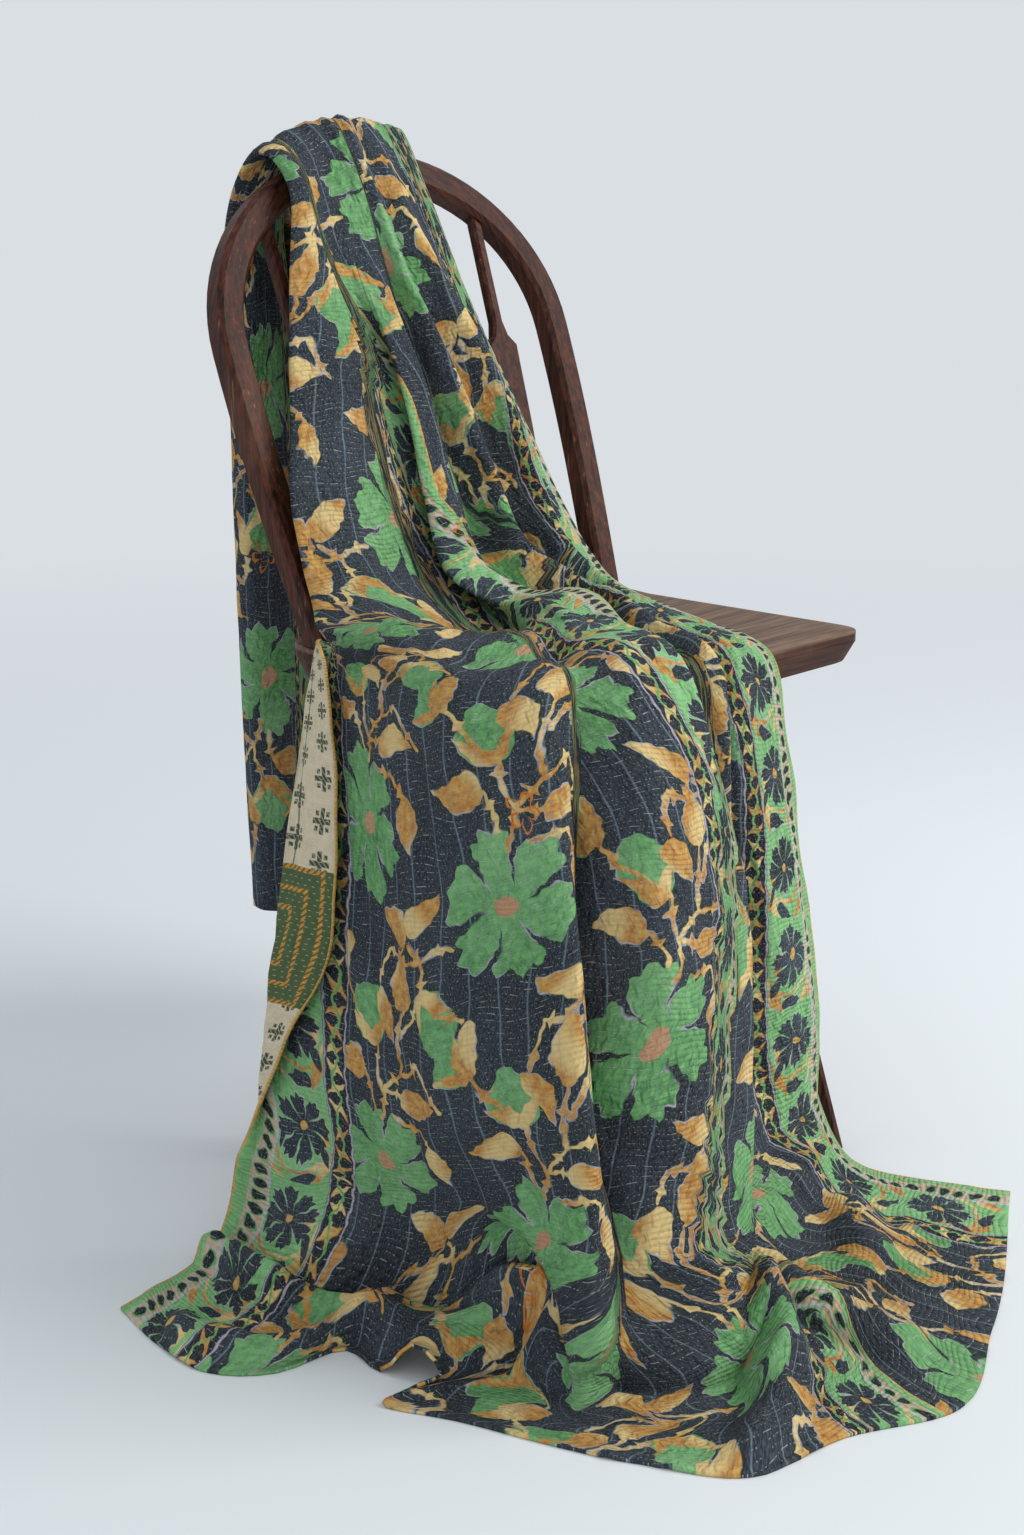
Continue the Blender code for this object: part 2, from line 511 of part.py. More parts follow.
def seat_height(x, y):
    """Top of the plank: flat in front, dished a little, rising to a rim behind."""
    rise = min(max(0.0, (y + 0.045) / (SEAT_BACK_Y + 0.045)), 1.0)
    dish = SEAT_DISH * float(smooth_bump(math.hypot(x / 0.15, (y + 0.12) / 0.09)))
    return SEAT_TOP - dish + SEAT_RIM * rise * rise * (3 - 2 * rise)


def seat(name):
    outline, under = seat_outline(0.0), seat_outline(SEAT_UNDERCUT)
    middle = Vector((0.0, (SEAT_FRONT_Y + SEAT_BACK_Y) / 2))
    rings = [[(p.x, p.y, SEAT_TOP - SEAT_THICK) for p in under],
             [(p.x, p.y, (SEAT_TOP + seat_height(*p)) / 2 - SEAT_EDGE) for p in outline]]
    for share, ease in ((1.0, SEAT_EASE), (0.93, 0.0), (0.55, 0.0)):
        inner = [middle + (p - middle) * share for p in outline]
        rings.append([(p.x, p.y, seat_height(*p) - ease) for p in inner])
    mesh, top = lofted(rings)
    hub = bmesh.ops.poke(mesh, faces=[top])["verts"][0]
    hub.co.z = seat_height(hub.co.x, hub.co.y)
    return finish(mesh, name, 50.0)


def cut(piece, cutter):
    """Takes the cutter out of the piece and throws the cutter away."""
    socket = piece.modifiers.new("socket", "BOOLEAN")
    socket.operation, socket.solver, socket.object = "DIFFERENCE", "EXACT", cutter
    graph = bpy.context.evaluated_depsgraph_get()
    data = bpy.data.meshes.new_from_object(piece.evaluated_get(graph))
    piece.modifiers.clear()
    piece.data = data
    bpy.data.objects.remove(cutter)


def clear_scene():
    for piece in list(bpy.data.objects):
        bpy.data.objects.remove(piece)


def centre_on_floor():
    """Moves every piece so that the origin is under the middle of them all, on the floor."""
    pieces = list(bpy.data.objects)
    points = np.concatenate([np.array([v.co for v in piece.data.vertices]) for piece in pieces])
    low, high = points.min(axis=0), points.max(axis=0)
    shift = Matrix.Translation((-(low[0] + high[0]) / 2, -(low[1] + high[1]) / 2, -low[2]))
    for piece in pieces:
        piece.data.transform(shift)


def build():
    clear_scene()
    plank = seat("seat")
    bow = hoop("hoop")
    cut(plank, hoop("hoop_socket", PLAY))
    for name, x_seat, x_hoop in SPINDLES:
        spindle(name, x_seat, x_hoop)
        cut(plank, spindle(name + "_socket", x_seat, x_hoop, PLAY))
        cut(bow, spindle(name + "_socket", x_seat, x_hoop, PLAY))
    for name, *place in LEGS:
        leg(name, *place)
        cut(plank, leg(name + "_socket", *place, PLAY))
    quilt("quilt")
    centre_on_floor()


build()
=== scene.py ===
"""Looks of the stitched quilt on its hoop-back chair.

The quilt's sheet is lofted through the same sections and creases as its solid, with a
finer mesh, calmer ruffles over the hoop and a few small folds of its own.  It carries its
print, its running stitches and their puckers on a map in metres of cloth.  The chair's
pieces keep their shapes and get worn wood with a dark stain, and the plank's sides and
underside get painted shade.
"""
import math

import bmesh
import bpy
import numpy as np
from mathutils import Matrix, Vector


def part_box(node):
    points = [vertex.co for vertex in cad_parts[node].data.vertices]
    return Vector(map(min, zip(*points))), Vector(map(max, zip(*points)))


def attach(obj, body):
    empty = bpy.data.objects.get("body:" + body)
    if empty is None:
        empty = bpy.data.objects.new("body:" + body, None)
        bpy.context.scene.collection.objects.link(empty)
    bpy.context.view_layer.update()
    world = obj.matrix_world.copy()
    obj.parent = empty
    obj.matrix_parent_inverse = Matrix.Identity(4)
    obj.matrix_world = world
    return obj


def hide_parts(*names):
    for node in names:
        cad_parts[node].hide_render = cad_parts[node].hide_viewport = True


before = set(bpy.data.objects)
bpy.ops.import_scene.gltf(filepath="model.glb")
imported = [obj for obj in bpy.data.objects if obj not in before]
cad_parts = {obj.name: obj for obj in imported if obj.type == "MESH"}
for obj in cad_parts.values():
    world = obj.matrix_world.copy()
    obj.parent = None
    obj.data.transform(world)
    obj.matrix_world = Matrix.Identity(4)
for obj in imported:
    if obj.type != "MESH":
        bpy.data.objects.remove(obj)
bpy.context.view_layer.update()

# ---------------------------------------------------------------- sizes, in metres
SEAT_TOP = 0.441
SEAT_THICK = 0.026
SEAT_FRONT_HALF = 0.190
SEAT_BACK_HALF = 0.168
SEAT_FRONT_Y = -0.250
SEAT_BACK_Y = 0.034
SEAT_RIM = 0.004
QUILT_WIDTH = 1.10
BORDER = 0.098            # a printed border, from its selvedge to its inner line
JOIN = 0.710              # where the second width of cloth is joined to the first
TUCK_WIDTH = 0.012        # how much of the sheet a tuck takes up
QUILT_THICK = 0.0024
SEAT_GAP = 0.0004
EDGE_GAP = 0.0020
FLOOR_GAP = 0.0003
SEAT_MARGIN = 0.004
REST_FROM = -0.060        # where, towards the back, the cloth begins to rise over the rim
REST_RISE = 0.045
ROWS_PER_SECTION = 8
COLS_PER_CREASE = 8
SECTION_STEPS = 61        # points along a section at which its normal is worked out
MAP_SPREAD = (6, 20)      # rows and columns that the map's run down the cloth is evened over
MAP_OWN = 0.35            # how far a point's place on the map is its own, not its row's
RIPPLES = 46              # ripples that the stitches draw up, and what they measure
RIPPLE_HEIGHT = 0.0011
RIPPLE_LENGTHS = (0.030, 0.060)
RIPPLE_TURN = 0.42

seat_low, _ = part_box("seat")
hoop_low, hoop_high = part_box("hoop")
# The point under the middle of the hoop's ends, which the sections are laid out from.
CHAIR_FOOT = Vector(((hoop_low.x + hoop_high.x) / 2, seat_low.y - SEAT_FRONT_Y, 0.0))

ARCH_FROM = 0.660         # height where the hoop's uprights turn into its arch
ARCH_RADIUS = 0.170

EYE = Vector((-1.169, -1.197, 0.802))     # camera, from the chair's own foot point
EYE_TURN = -45.41                         # degrees about +Z from looking along +Y
EYE_DOWN = 16.29                          # degrees below level
LENS = 49.76
SENSOR = 36.0

# ---------------------------------------------------------------- the quilt's shape
SECTIONS = [  # name, then x, y and z in mm of the left, near, front and right guides
    ("hem_back", (-85, 180, 166), (5, 190, 158), (100, 188, 160), (205, 192, 168)),
    ("hang_low", (-89, 183, 330), (0, 190, 330), (90, 190, 330), (182, 188, 330)),
    ("hang_mid", (-94, 178, 500), (-15, 186, 500), (68, 187, 500), (148, 182, 500)),
    ("hang_high", (-101, 168, 660), (-35, 176, 665), (35, 177, 665), (100, 171, 660)),
    ("nape", (-105, 158, 750), (-55, 165, 765), (0, 165, 770), (56, 159, 760)),
    ("top", (-103, 128, 799), (-58, 130, 818), (-10, 131, 824), (45, 130, 817)),
    ("brow", (-100, 90, 772), (-55, 88, 776), (-8, 88, 776), (42, 87, 765)),
    ("back_high", (-127, 61, 693), (-65, 56, 690), (0, 56, 690), (61, 61, 690)),
    ("back", (-151, 34, 622), (-75, 27, 615), (5, 27, 610), (83, 27, 604)),
    ("back_low", (-173, 8, 553), (-85, 0, 545), (10, 0, 540), (102, 3, 540)),
    ("low", (-180, -14, 495), (-92, -24, 490), (12, -26, 488), (122, -22, 480)),
    ("nook", (-190, -34, 468), (-105, -78, 462), (15, -80, 462), (118, -55, 458)),
    ("roll", (-203, -48, 466), (-160, -145, 474), (-30, -150, 474), (72, -140, 458)),
    ("dip", (-210, -56, 460), (-200, -195, 466), (-85, -215, 467), (50, -215, 456)),
    ("lip", (-215, -61, 446), (-232, -236, 464), (-140, -288, 466), (22, -286, 450)),
    ("drop_high", (-222, -55, 392), (-252, -260, 395), (-164, -322, 391), (38, -291, 375)),
    ("drop", (-236, -42, 270), (-260, -277, 290), (-178, -344, 295), (66, -288, 275)),
    ("drop_low", (-253, -37, 160), (-268, -298, 185), (-186, -370, 180), (98, -283, 165)),
    ("shin", (-271, -30, 70), (-274, -308, 115), (-184, -392, 95), (121, -271, 70)),
]
# Sections of the pool on the floor, between the shin and the front hem.
POOL = [  # name, share of the way to the hem, share of the shin's height left
    ("pocket", 0.08, 0.50),
    ("roll_top", 0.19, 0.20),
    ("gully", 0.31, 0.09),
    ("flap_top", 0.43, 0.055),
    ("trough", 0.56, 0.040),
    ("bank", 0.70, 0.028),
    ("floor", 0.85, 0.012),
    ("hem_front", 1.00, 0.000),
]

# Creases, a row for each line that runs the length of the quilt.  `at` is where the
# crease lies across a section (0 left, 1 right); `lift` is mm off the section.
CREASE_ZONES = ["hem_back", "hang_mid", "nape", "top", "brow", "back", "low", "nook", "roll",
                "dip", "lip", "drop", "drop_low", "shin"]
CREASES = [  # name, metres from the left edge, at in each zone, lift in each zone
    ("left_edge", 0.00,
     (0.17, 0.19, 0.30, 0.50, 0.55, 0.60, 0.52, 0.24, 0.00, 0.01, 0.04, 0.105, 0.045, 0.00),
     (-34, -30, -13, -9, -11, -12, -12, -21, -10, 5, 8, 10, 14, 9)),
    ("left_strip", 0.065,
     (0.08, 0.09, 0.18, 0.36, 0.40, 0.45, 0.38, 0.17, 0.02, 0.00, 0.00, 0.00, 0.00, 0.03),
     (-28, -26, -12, -9, -11, -12, -12, -21, -9, -1, 3, 4, 3, 0)),
    ("left_border", 0.10,
     (0.00, 0.00, 0.10, 0.22, 0.27, 0.30, 0.26, 0.10, 0.05, 0.035, 0.04, 0.11, 0.10, 0.10),
     (-6, -9, -10, -9, -11, -12, -12, -19, -6, -5, -4, -3, 0, 1)),
    ("left_fold", 0.20,
     (0.06, 0.05, 0.00, 0.00, 0.00, 0.00, 0.00, 0.00, 0.09, 0.10, 0.12, 0.20, 0.20, 0.19),
     (18, 14, 5, 0, -3, -3, -3, -2, -2, -1, 0, 3, 1, -10)),
    ("panel", 0.27,
     (0.12, 0.12, 0.07, 0.06, 0.05, 0.17, 0.18, 0.17, 0.20, 0.22, 0.25, 0.29, 0.28, 0.26),
     (-14, -15, 3, 2, 2, 5, 8, 8, 7, 6, 5, 6, 1, -14)),
    ("valley_1", 0.33,
     (0.18, 0.19, 0.14, 0.12, 0.11, 0.36, 0.38, 0.36, 0.34, 0.35, 0.36, 0.38, 0.37, 0.35),
     (24, 24, 9, -1, 0, -6, -7, -4, -1, 0, 0, -1, -3, -14)),
    ("under_1", 0.43,
     (0.27, 0.26, 0.22, 0.22, 0.20, 0.51, 0.54, 0.52, 0.50, 0.49, 0.49, 0.51, 0.50, 0.47),
     (-42, -34, 1, 1, -3, -8, -9, -14, -8, 3, 4, 4, 4, 4)),
    ("under_2", 0.49,
     (0.34, 0.34, 0.31, 0.30, 0.28, 0.47, 0.48, 0.49, 0.53, 0.55, 0.565, 0.565, 0.56, 0.55),
     (18, 18, 8, -1, -4, 1, 1, 3, 0, -3, -6, -34, -34, -24)),
    ("pleat_1", 0.56,
     (0.40, 0.41, 0.38, 0.37, 0.34, 0.43, 0.43, 0.47, 0.56, 0.61, 0.66, 0.68, 0.69, 0.72),
     (-44, -40, -2, 1, -5, 8, 9, 10, 9, 8, 10, 16, 14, 14)),
    ("join_in", 0.63,
     (0.47, 0.46, 0.46, 0.45, 0.40, 0.50, 0.49, 0.56, 0.67, 0.72, 0.76, 0.815, 0.785, 0.775),
     (26, 22, 9, -1, -4, 13, 16, 14, 12, 12, 12, 22, 20, 8)),
    ("join_out", 0.71,
     (0.53, 0.54, 0.52, 0.51, 0.45, 0.55, 0.57, 0.62, 0.71, 0.75, 0.79, 0.81, 0.795, 0.80),
     (-38, -36, -2, 1, 0, 2, 4, 3, 2, 0, -2, -14, -14, -8)),
    ("valley_2", 0.75,
     (0.60, 0.59, 0.58, 0.56, 0.48, 0.59, 0.63, 0.68, 0.74, 0.78, 0.81, 0.835, 0.815, 0.82),
     (20, 20, 8, -1, 2, -9, -11, -12, -12, -10, -7, -42, -44, -30)),
    ("pleat_2", 0.82,
     (0.66, 0.67, 0.66, 0.62, 0.52, 0.65, 0.70, 0.75, 0.79, 0.82, 0.845, 0.865, 0.85, 0.86),
     (-46, -38, -3, 2, 6, 18, 20, 15, 10, 9, 9, -12, -20, -18)),
    ("valley_3", 0.88,
     (0.74, 0.73, 0.73, 0.69, 0.60, 0.75, 0.775, 0.80, 0.83, 0.85, 0.87, 0.88, 0.88, 0.90),
     (20, 22, 8, -1, -1, -7, -9, -5, -3, -3, -4, -24, -26, -16)),
    ("pleat_3", 0.94,
     (0.81, 0.81, 0.81, 0.78, 0.70, 0.85, 0.84, 0.86, 0.87, 0.88, 0.885, 0.895, 0.91, 0.93),
     (-40, -34, -2, 1, 6, 18, 19, 13, 4, 2, 0, -6, -8, -6)),
    ("right_border", 1.00,
     (0.88, 0.89, 0.89, 0.87, 0.83, 0.92, 0.89, 0.91, 0.91, 0.91, 0.91, 0.905, 0.93, 0.955),
     (24, 20, 8, 0, -2, 3, 3, 3, 5, 4, 4, 4, 0, 0)),
    ("right_strip", 1.05,
     (0.96, 0.96, 0.96, 0.95, 0.93, 0.98, 0.96, 0.96, 0.96, 0.95, 0.95, 0.95, 0.965, 0.98),
     (-12, -8, 1, 0, 0, -3, 1, 2, 3, 4, 4, 6, 4, 2)),
    ("right_edge", 1.10,
     (1.00, 1.00, 1.00, 1.00, 1.00, 1.00, 1.00, 1.00, 1.00, 1.00, 1.00, 1.00, 1.00, 1.00),
     (-34, -26, -4, -1, -4, -8, -7, -2, 0, 0, 0, 0, 0, 0)),
]

# Where the front hem lies on the floor, going round from the left corner.
HEM = [  # name, metres from the left edge, x, y, z
    ("left_corner", 0.000, -0.402, -0.046, 0.000),
    ("border_middle", 0.050, -0.412, -0.106, 0.000),
    ("flap_round", 0.105, -0.407, -0.160, 0.000),
    ("flap_foot", 0.150, -0.376, -0.190, 0.000),
    ("notch", 0.200, -0.324, -0.203, 0.002),
    ("small_point", 0.235, -0.326, -0.238, 0.003),
    ("tuck_crest", 0.262, -0.316, -0.262, 0.026),
    ("tuck_right", 0.285, -0.311, -0.284, 0.012),
    ("tuck_left", 0.318, -0.350, -0.269, 0.003),
    ("sheet_near", 0.365, -0.331, -0.314, 0.000),
    ("sheet_left", 0.496, -0.281, -0.435, 0.000),
    ("sheet_front", 0.567, -0.242, -0.494, 0.000),
    ("join_inner", 0.640, -0.166, -0.511, 0.000),
    ("join_outer", 0.720, -0.090, -0.545, 0.000),
    ("right_front", 0.835, 0.014, -0.507, 0.000),
    ("right_corner", 1.100, 0.200, -0.406, 0.000),
]

# Folds that run across or aslant.  Each moves the cloth round a line that goes from one
# point of it to another: a section counted by name, `at` in metres from the left edge.
# Those from hollow_left on are small ones that the solid doesn't have.
FOLDS = [  # name, section, at, section, at, half length along, half width, mm in x, y and z
    ("seat_crease", "dip", 0.34, "dip", 0.50, 0.60, 0.050, 0, 0, -7),
    ("roll_left", "pocket", 0.13, "pocket", 0.27, 1.60, 0.070, 2, -6, 26),
    ("flap_ridge", "gully", 0.02, "gully", 0.18, 0.90, 0.055, 0, 0, 22),
    ("ridge_low", "floor", 0.07, "bank", 0.18, 1.20, 0.050, 0, 0, 15),
    ("ridge_high", "bank", 0.22, "flap_top", 0.26, 1.50, 0.070, 3, -5, 30),
    ("loop_shift", "gully", 0.30, "flap_top", 0.30, 3.60, 0.150, 32, -32, 0),
    ("loop_top", "roll_top", 0.30, "gully", 0.29, 2.00, 0.090, 6, -6, 46),
    ("panel_break", "pocket", 0.46, "roll_top", 0.57, 0.90, 0.080, -7, -9, 6),
    ("arch_top", "roll_top", 0.63, "flap_top", 0.62, 1.50, 0.065, 4, -4, 42),
    ("arch_foot", "trough", 0.61, "floor", 0.58, 1.00, 0.045, 0, 0, 20),
    ("right_edge_fold", "pocket", 0.77, "bank", 0.765, 1.00, 0.040, 0, 0, 18),
    ("right_hump", "gully", 0.95, "flap_top", 0.90, 1.30, 0.060, 0, 0, 15),
    ("hollow_left", "pocket", 0.21, "gully", 0.135, 1.00, 0.045, 7, 8, -13),
    ("hollow_arch", "pocket", 0.515, "roll_top", 0.50, 1.10, 0.040, 6, 6, -10),
    ("loop_lip", "roll_top", 0.315, "flap_top", 0.245, 1.00, 0.028, -5, -6, 7),
    ("loop_seat", "trough", 0.285, "bank", 0.235, 1.00, 0.030, 3, 4, -8),
    ("arch_lip", "pocket", 0.575, "gully", 0.64, 1.00, 0.026, -4, -4, 7),
    ("shin_crease", "drop", 0.30, "shin", 0.33, 1.40, 0.030, 3, 4, 0),
    ("panel_crease", "drop_high", 0.20, "drop_low", 0.245, 1.20, 0.024, -4, -4, 0),
    ("panel_dent", "drop_high", 0.245, "drop", 0.28, 1.10, 0.028, 3, 4, 0),
]

# Where the print's own lines cross the sheet, section by section, in metres from its left
# edge as the creases count it; the tucks that hide the rest of each width of cloth; and
# how much of it they hide.
PRINT_LINES = [  # name, left border, join in, join out, right border, tuck, join tuck, tuck, hidden
    ("hem_back", 0.060, 0.612, 0.710, 1.002, 0.43, 0.69, 0.88, 0.3),
    ("hang_low", 0.050, 0.612, 0.710, 1.002, 0.43, 0.69, 0.88, 0.3),
    ("hang_mid", 0.040, 0.600, 0.700, 1.002, 0.43, 0.69, 0.88, 0.4),
    ("hang_high", 0.040, 0.500, 0.550, 1.002, 0.43, 0.54, 0.88, 0.5),
    ("nape", 0.040, 0.385, 0.400, 1.002, 0.37, 0.39, 0.75, 0.8),
    ("top", 0.050, 0.345, 0.355, 1.002, 0.34, 0.35, 0.75, 0.9),
    ("brow", 0.060, 0.330, 0.340, 1.025, 0.32, 0.33, 0.75, 1.0),
    ("back_high", 0.080, 0.385, 0.400, 1.000, 0.37, 0.39, 0.75, 1.0),
    ("back", 0.090, 0.325, 0.585, 0.935, 0.31, 0.34, 0.75, 1.0),
    ("back_low", 0.100, 0.335, 0.600, 0.915, 0.32, 0.35, 0.75, 1.0),
    ("low", 0.100, 0.360, 0.750, 0.930, 0.34, 0.38, 0.88, 1.0),
    ("nook", 0.100, 0.350, 0.700, 0.775, 0.34, 0.48, 0.73, 1.0),
    ("roll", 0.100, 0.420, 0.660, 0.770, 0.40, 0.48, 0.72, 1.0),
    ("dip", 0.100, 0.500, 0.700, 0.900, 0.46, 0.65, 0.75, 1.0),
    ("lip", 0.100, 0.555, 0.755, 0.885, 0.48, 0.72, 0.78, 1.0),
    ("drop_high", 0.100, 0.595, 0.630, 0.955, 0.49, 0.62, 0.78, 1.0),
    ("drop", 0.100, 0.592, 0.602, 0.920, 0.49, 0.60, 0.75, 1.0),
    ("drop_low", 0.115, 0.575, 0.585, 0.895, 0.49, 0.58, 0.75, 1.0),
    ("shin", 0.140, 0.540, 0.550, 0.885, 0.49, 0.545, 0.70, 1.0),
    ("pocket", 0.135, 0.600, 0.640, 0.970, 0.48, 0.62, 0.70, 0.7),
    ("roll_top", 0.120, 0.625, 0.680, 0.965, 0.40, 0.65, 0.72, 0.5),
    ("gully", 0.110, 0.640, 0.760, 0.965, 0.32, 0.70, 0.80, 0.3),
    ("flap_top", 0.100, 0.650, 0.780, 0.955, 0.30, 0.70, 0.82, 0.2),
    ("trough", 0.100, 0.655, 0.745, 0.975, 0.30, 0.70, 0.85, 0.0),
    ("bank", 0.100, 0.640, 0.715, 0.965, 0.30, 0.68, 0.85, 0.0),
    ("floor", 0.100, 0.640, 0.710, 0.965, 0.30, 0.68, 0.85, 0.0),
    ("hem_front", 0.090, 0.645, 0.710, 0.980, 0.30, 0.68, 0.85, 0.0),
]


# ---------------------------------------------------------------- small helpers
def slopes(xs, ys, keep_order):
    """Tangents of a cubic through the points; `keep_order` stops it overshooting."""
    xs, ys = np.asarray(xs, float), np.asarray(ys, float)
    step = np.diff(xs)
    step = step.reshape((-1,) + (1,) * (ys.ndim - 1))
    rise = np.diff(ys, axis=0) / step
    out = np.empty_like(ys)
    out[0], out[-1] = rise[0], rise[-1]
    a, b = step[:-1], step[1:]
    if keep_order:
        same = rise[:-1] * rise[1:] > 0
        w1, w2 = 2 * b + a, b + 2 * a
        safe0 = np.where(same, rise[:-1], 1.0)
        safe1 = np.where(same, rise[1:], 1.0)
        out[1:-1] = np.where(same, (w1 + w2) / (w1 / safe0 + w2 / safe1), 0.0)
    else:
        out[1:-1] = (rise[:-1] * b + rise[1:] * a) / (a + b)
    return out


def cubic(xs, ys, at, keep_order=False):
    """Values at `at` of the cubic through (xs, ys); ys may hold vectors."""
    xs, ys, at = np.asarray(xs, float), np.asarray(ys, float), np.asarray(at, float)
    m = slopes(xs, ys, keep_order)
    k = np.clip(np.searchsorted(xs, at, side="right") - 1, 0, len(xs) - 2)
    h = xs[k + 1] - xs[k]
    t = np.clip((at - xs[k]) / h, 0.0, 1.0)
    shape = (-1,) + (1,) * (ys.ndim - 1)
    h, t = h.reshape(shape), t.reshape(shape)
    return ((1 + 2 * t) * (1 - t) ** 2 * ys[k] + t * (1 - t) ** 2 * h * m[k]
            + t * t * (3 - 2 * t) * ys[k + 1] + t * t * (t - 1) * h * m[k + 1])


def between(values, parts):
    """The values with `parts` - 1 even steps put between each pair."""
    out = []
    for a, b in zip(values[:-1], values[1:]):
        out += [a + (b - a) * i / parts for i in range(parts)]
    return np.array(out + [values[-1]])


def smooth_bump(d):
    """1 at 0, falling smoothly to 0 at 1."""
    d = np.clip(np.abs(d), 0.0, 1.0)
    return (1 - d * d) ** 2


# ---------------------------------------------------------------- the quilt's sheet
def quilt_sheet(rows_per, cols_per):
    """Middle surface of the draped quilt: points[row, col], and each row and col's
    place along the sections and across the cloth."""
    names = [row[0] for row in SECTIONS + POOL]
    rails = np.array([row[1:] for row in SECTIONS]) / 1000.0    # section, guide, xyz
    place = between(np.arange(len(names), dtype=float), rows_per)
    across = between([row[1] for row in CREASES], cols_per)

    shin = len(SECTIONS) - 1
    hung = np.minimum(place, shin)
    guides = np.stack([cubic(np.arange(shin + 1), rails[:, g], hung) for g in range(4)], axis=1)
    zones = [names.index(z) for z in CREASE_ZONES]
    crease_v = [row[1] for row in CREASES]
    at_zone = np.array([row[2] for row in CREASES])             # crease, zone
    lift_zone = np.array([row[3] for row in CREASES]) / 1000.0
    at_row = cubic(zones, at_zone.T, hung, True)                # row, crease
    lift_row = cubic(zones, lift_zone.T, hung, True)

    rows, cols = len(place), len(across)
    base = np.empty((rows, cols, 3))
    lift = np.empty((rows, cols))
    even = np.linspace(0.0, 1.0, SECTION_STEPS)
    plain = np.empty((rows, SECTION_STEPS, 3))
    at = np.empty((rows, cols))
    for r in range(rows):
        at[r] = cubic(crease_v, at_row[r], across, True)
        lift[r] = cubic(crease_v, lift_row[r], across, True)
        base[r] = cubic([0, 1 / 3, 2 / 3, 1], guides[r], at[r])
        plain[r] = cubic([0, 1 / 3, 2 / 3, 1], guides[r], even)
    along = np.gradient(plain, axis=0)
    along[shin * rows_per:] = along[shin * rows_per - 1]
    aside = np.gradient(plain, axis=1)
    normal = np.cross(along, aside)
    normal /= np.linalg.norm(normal, axis=2, keepdims=True)
    out = np.empty_like(base)
    for r in range(rows):
        facing = np.stack([np.interp(at[r], even, normal[r, :, k]) for k in range(3)], axis=1)
        facing /= np.linalg.norm(facing, axis=1, keepdims=True)
        out[r] = base[r] + facing * lift[r][:, None]

    hem_line = cubic([row[1] for row in HEM], [row[2:] for row in HEM], across)
    steps = np.arange(shin, len(names))
    toward = cubic(steps, [0.0] + [row[1] for row in POOL], place, True)[:, None, None]
    height = cubic(steps, [1.0] + [row[2] for row in POOL], place, True)[:, None]
    foot = out[shin * rows_per]
    pool = foot + (hem_line - foot) * toward
    pool[..., 2] = foot[:, 2] * height + hem_line[:, 2] * toward[..., 0]
    out = np.where((place > shin)[:, None, None], pool, out)

    grid_p, grid_v = np.meshgrid(place, across, indexing="ij")
    for _, from_sec, from_v, to_sec, to_v, half_along, half_across, *move in FOLDS:
        p0, p1 = names.index(from_sec), names.index(to_sec)
        du, dv = (p1 - p0) / half_along, (to_v - from_v) / half_across
        u, v = (grid_p - p0) / half_along, (grid_v - from_v) / half_across
        t = np.clip((u * du + v * dv) / max(du * du + dv * dv, 1e-9), 0.0, 1.0)
        off = np.hypot(u - t * du, v - t * dv)
        out = out + smooth_bump(off)[..., None] * np.array(move) / 1000.0
    return rested_on_seat(out), place, across


def rested_on_seat(points):
    """Lifts what would sink into the plank, so that the cloth lies flat on it there."""
    x, y, z = points[..., 0], points[..., 1], points[..., 2]
    toward_back = (y - SEAT_FRONT_Y) / (SEAT_BACK_Y - SEAT_FRONT_Y)
    half = SEAT_FRONT_HALF + (SEAT_BACK_HALF - SEAT_FRONT_HALF) * toward_back
    over = (np.abs(x) < half + SEAT_MARGIN) & (z > SEAT_TOP - SEAT_THICK)
    over &= (y > SEAT_FRONT_Y - SEAT_MARGIN) & (y < SEAT_BACK_Y + SEAT_MARGIN)
    rim = np.clip((y - REST_FROM) / REST_RISE, 0.0, 1.0) * (SEAT_RIM + EDGE_GAP)
    lowest = SEAT_TOP + SEAT_GAP + QUILT_THICK / 2 + rim
    lifted = np.array(points)
    lifted[..., 2] = np.where(over, np.maximum(z, lowest), z)
    return lifted


def sheet_normals(points):
    """Unit normals on the printed side.  Each cell counts alike, so that at the edge of
    a tight fold the normal points straight out of the fold."""
    one, two = points[1:, 1:] - points[:-1, :-1], points[:-1, 1:] - points[1:, :-1]
    cell = np.cross(one, two)
    cell /= np.maximum(np.linalg.norm(cell, axis=2, keepdims=True), 1e-12)
    total = np.zeros_like(points)
    for down, aside in ((0, 0), (0, 1), (1, 0), (1, 1)):
        total[down:down + cell.shape[0], aside:aside + cell.shape[1]] += cell
    return total / np.maximum(np.linalg.norm(total, axis=2, keepdims=True), 1e-12)


# ---------------------------------------------------------------- node trees as sums
WANDER = 1.9          # how far a swaying wave's crests wander, and how slowly
WANDER_PACE = 0.62


class Value:
    """A socket that holds a number; sums on it add Math nodes to its tree."""

    def __init__(self, paint, socket):
        self.paint, self.socket = paint, socket

    def math(self, operation, other=None):
        return self.paint.math(operation, self, other)

    def __add__(self, other):
        return self.math("ADD", other)

    def __sub__(self, other):
        return self.math("SUBTRACT", other)

    def __rsub__(self, other):
        return self.paint.math("SUBTRACT", other, self)

    def __mul__(self, other):
        return self.math("MULTIPLY", other)

    def __truediv__(self, other):
        return self.math("DIVIDE", other)

    def __pow__(self, other):
        return self.math("POWER", other)

    def __mod__(self, other):
        return self.math("FLOORED_MODULO", other)

    def __gt__(self, other):
        return self.math("GREATER_THAN", other)

    def __abs__(self):
        return self.math("ABSOLUTE")

    __radd__ = __add__
    __rmul__ = __mul__


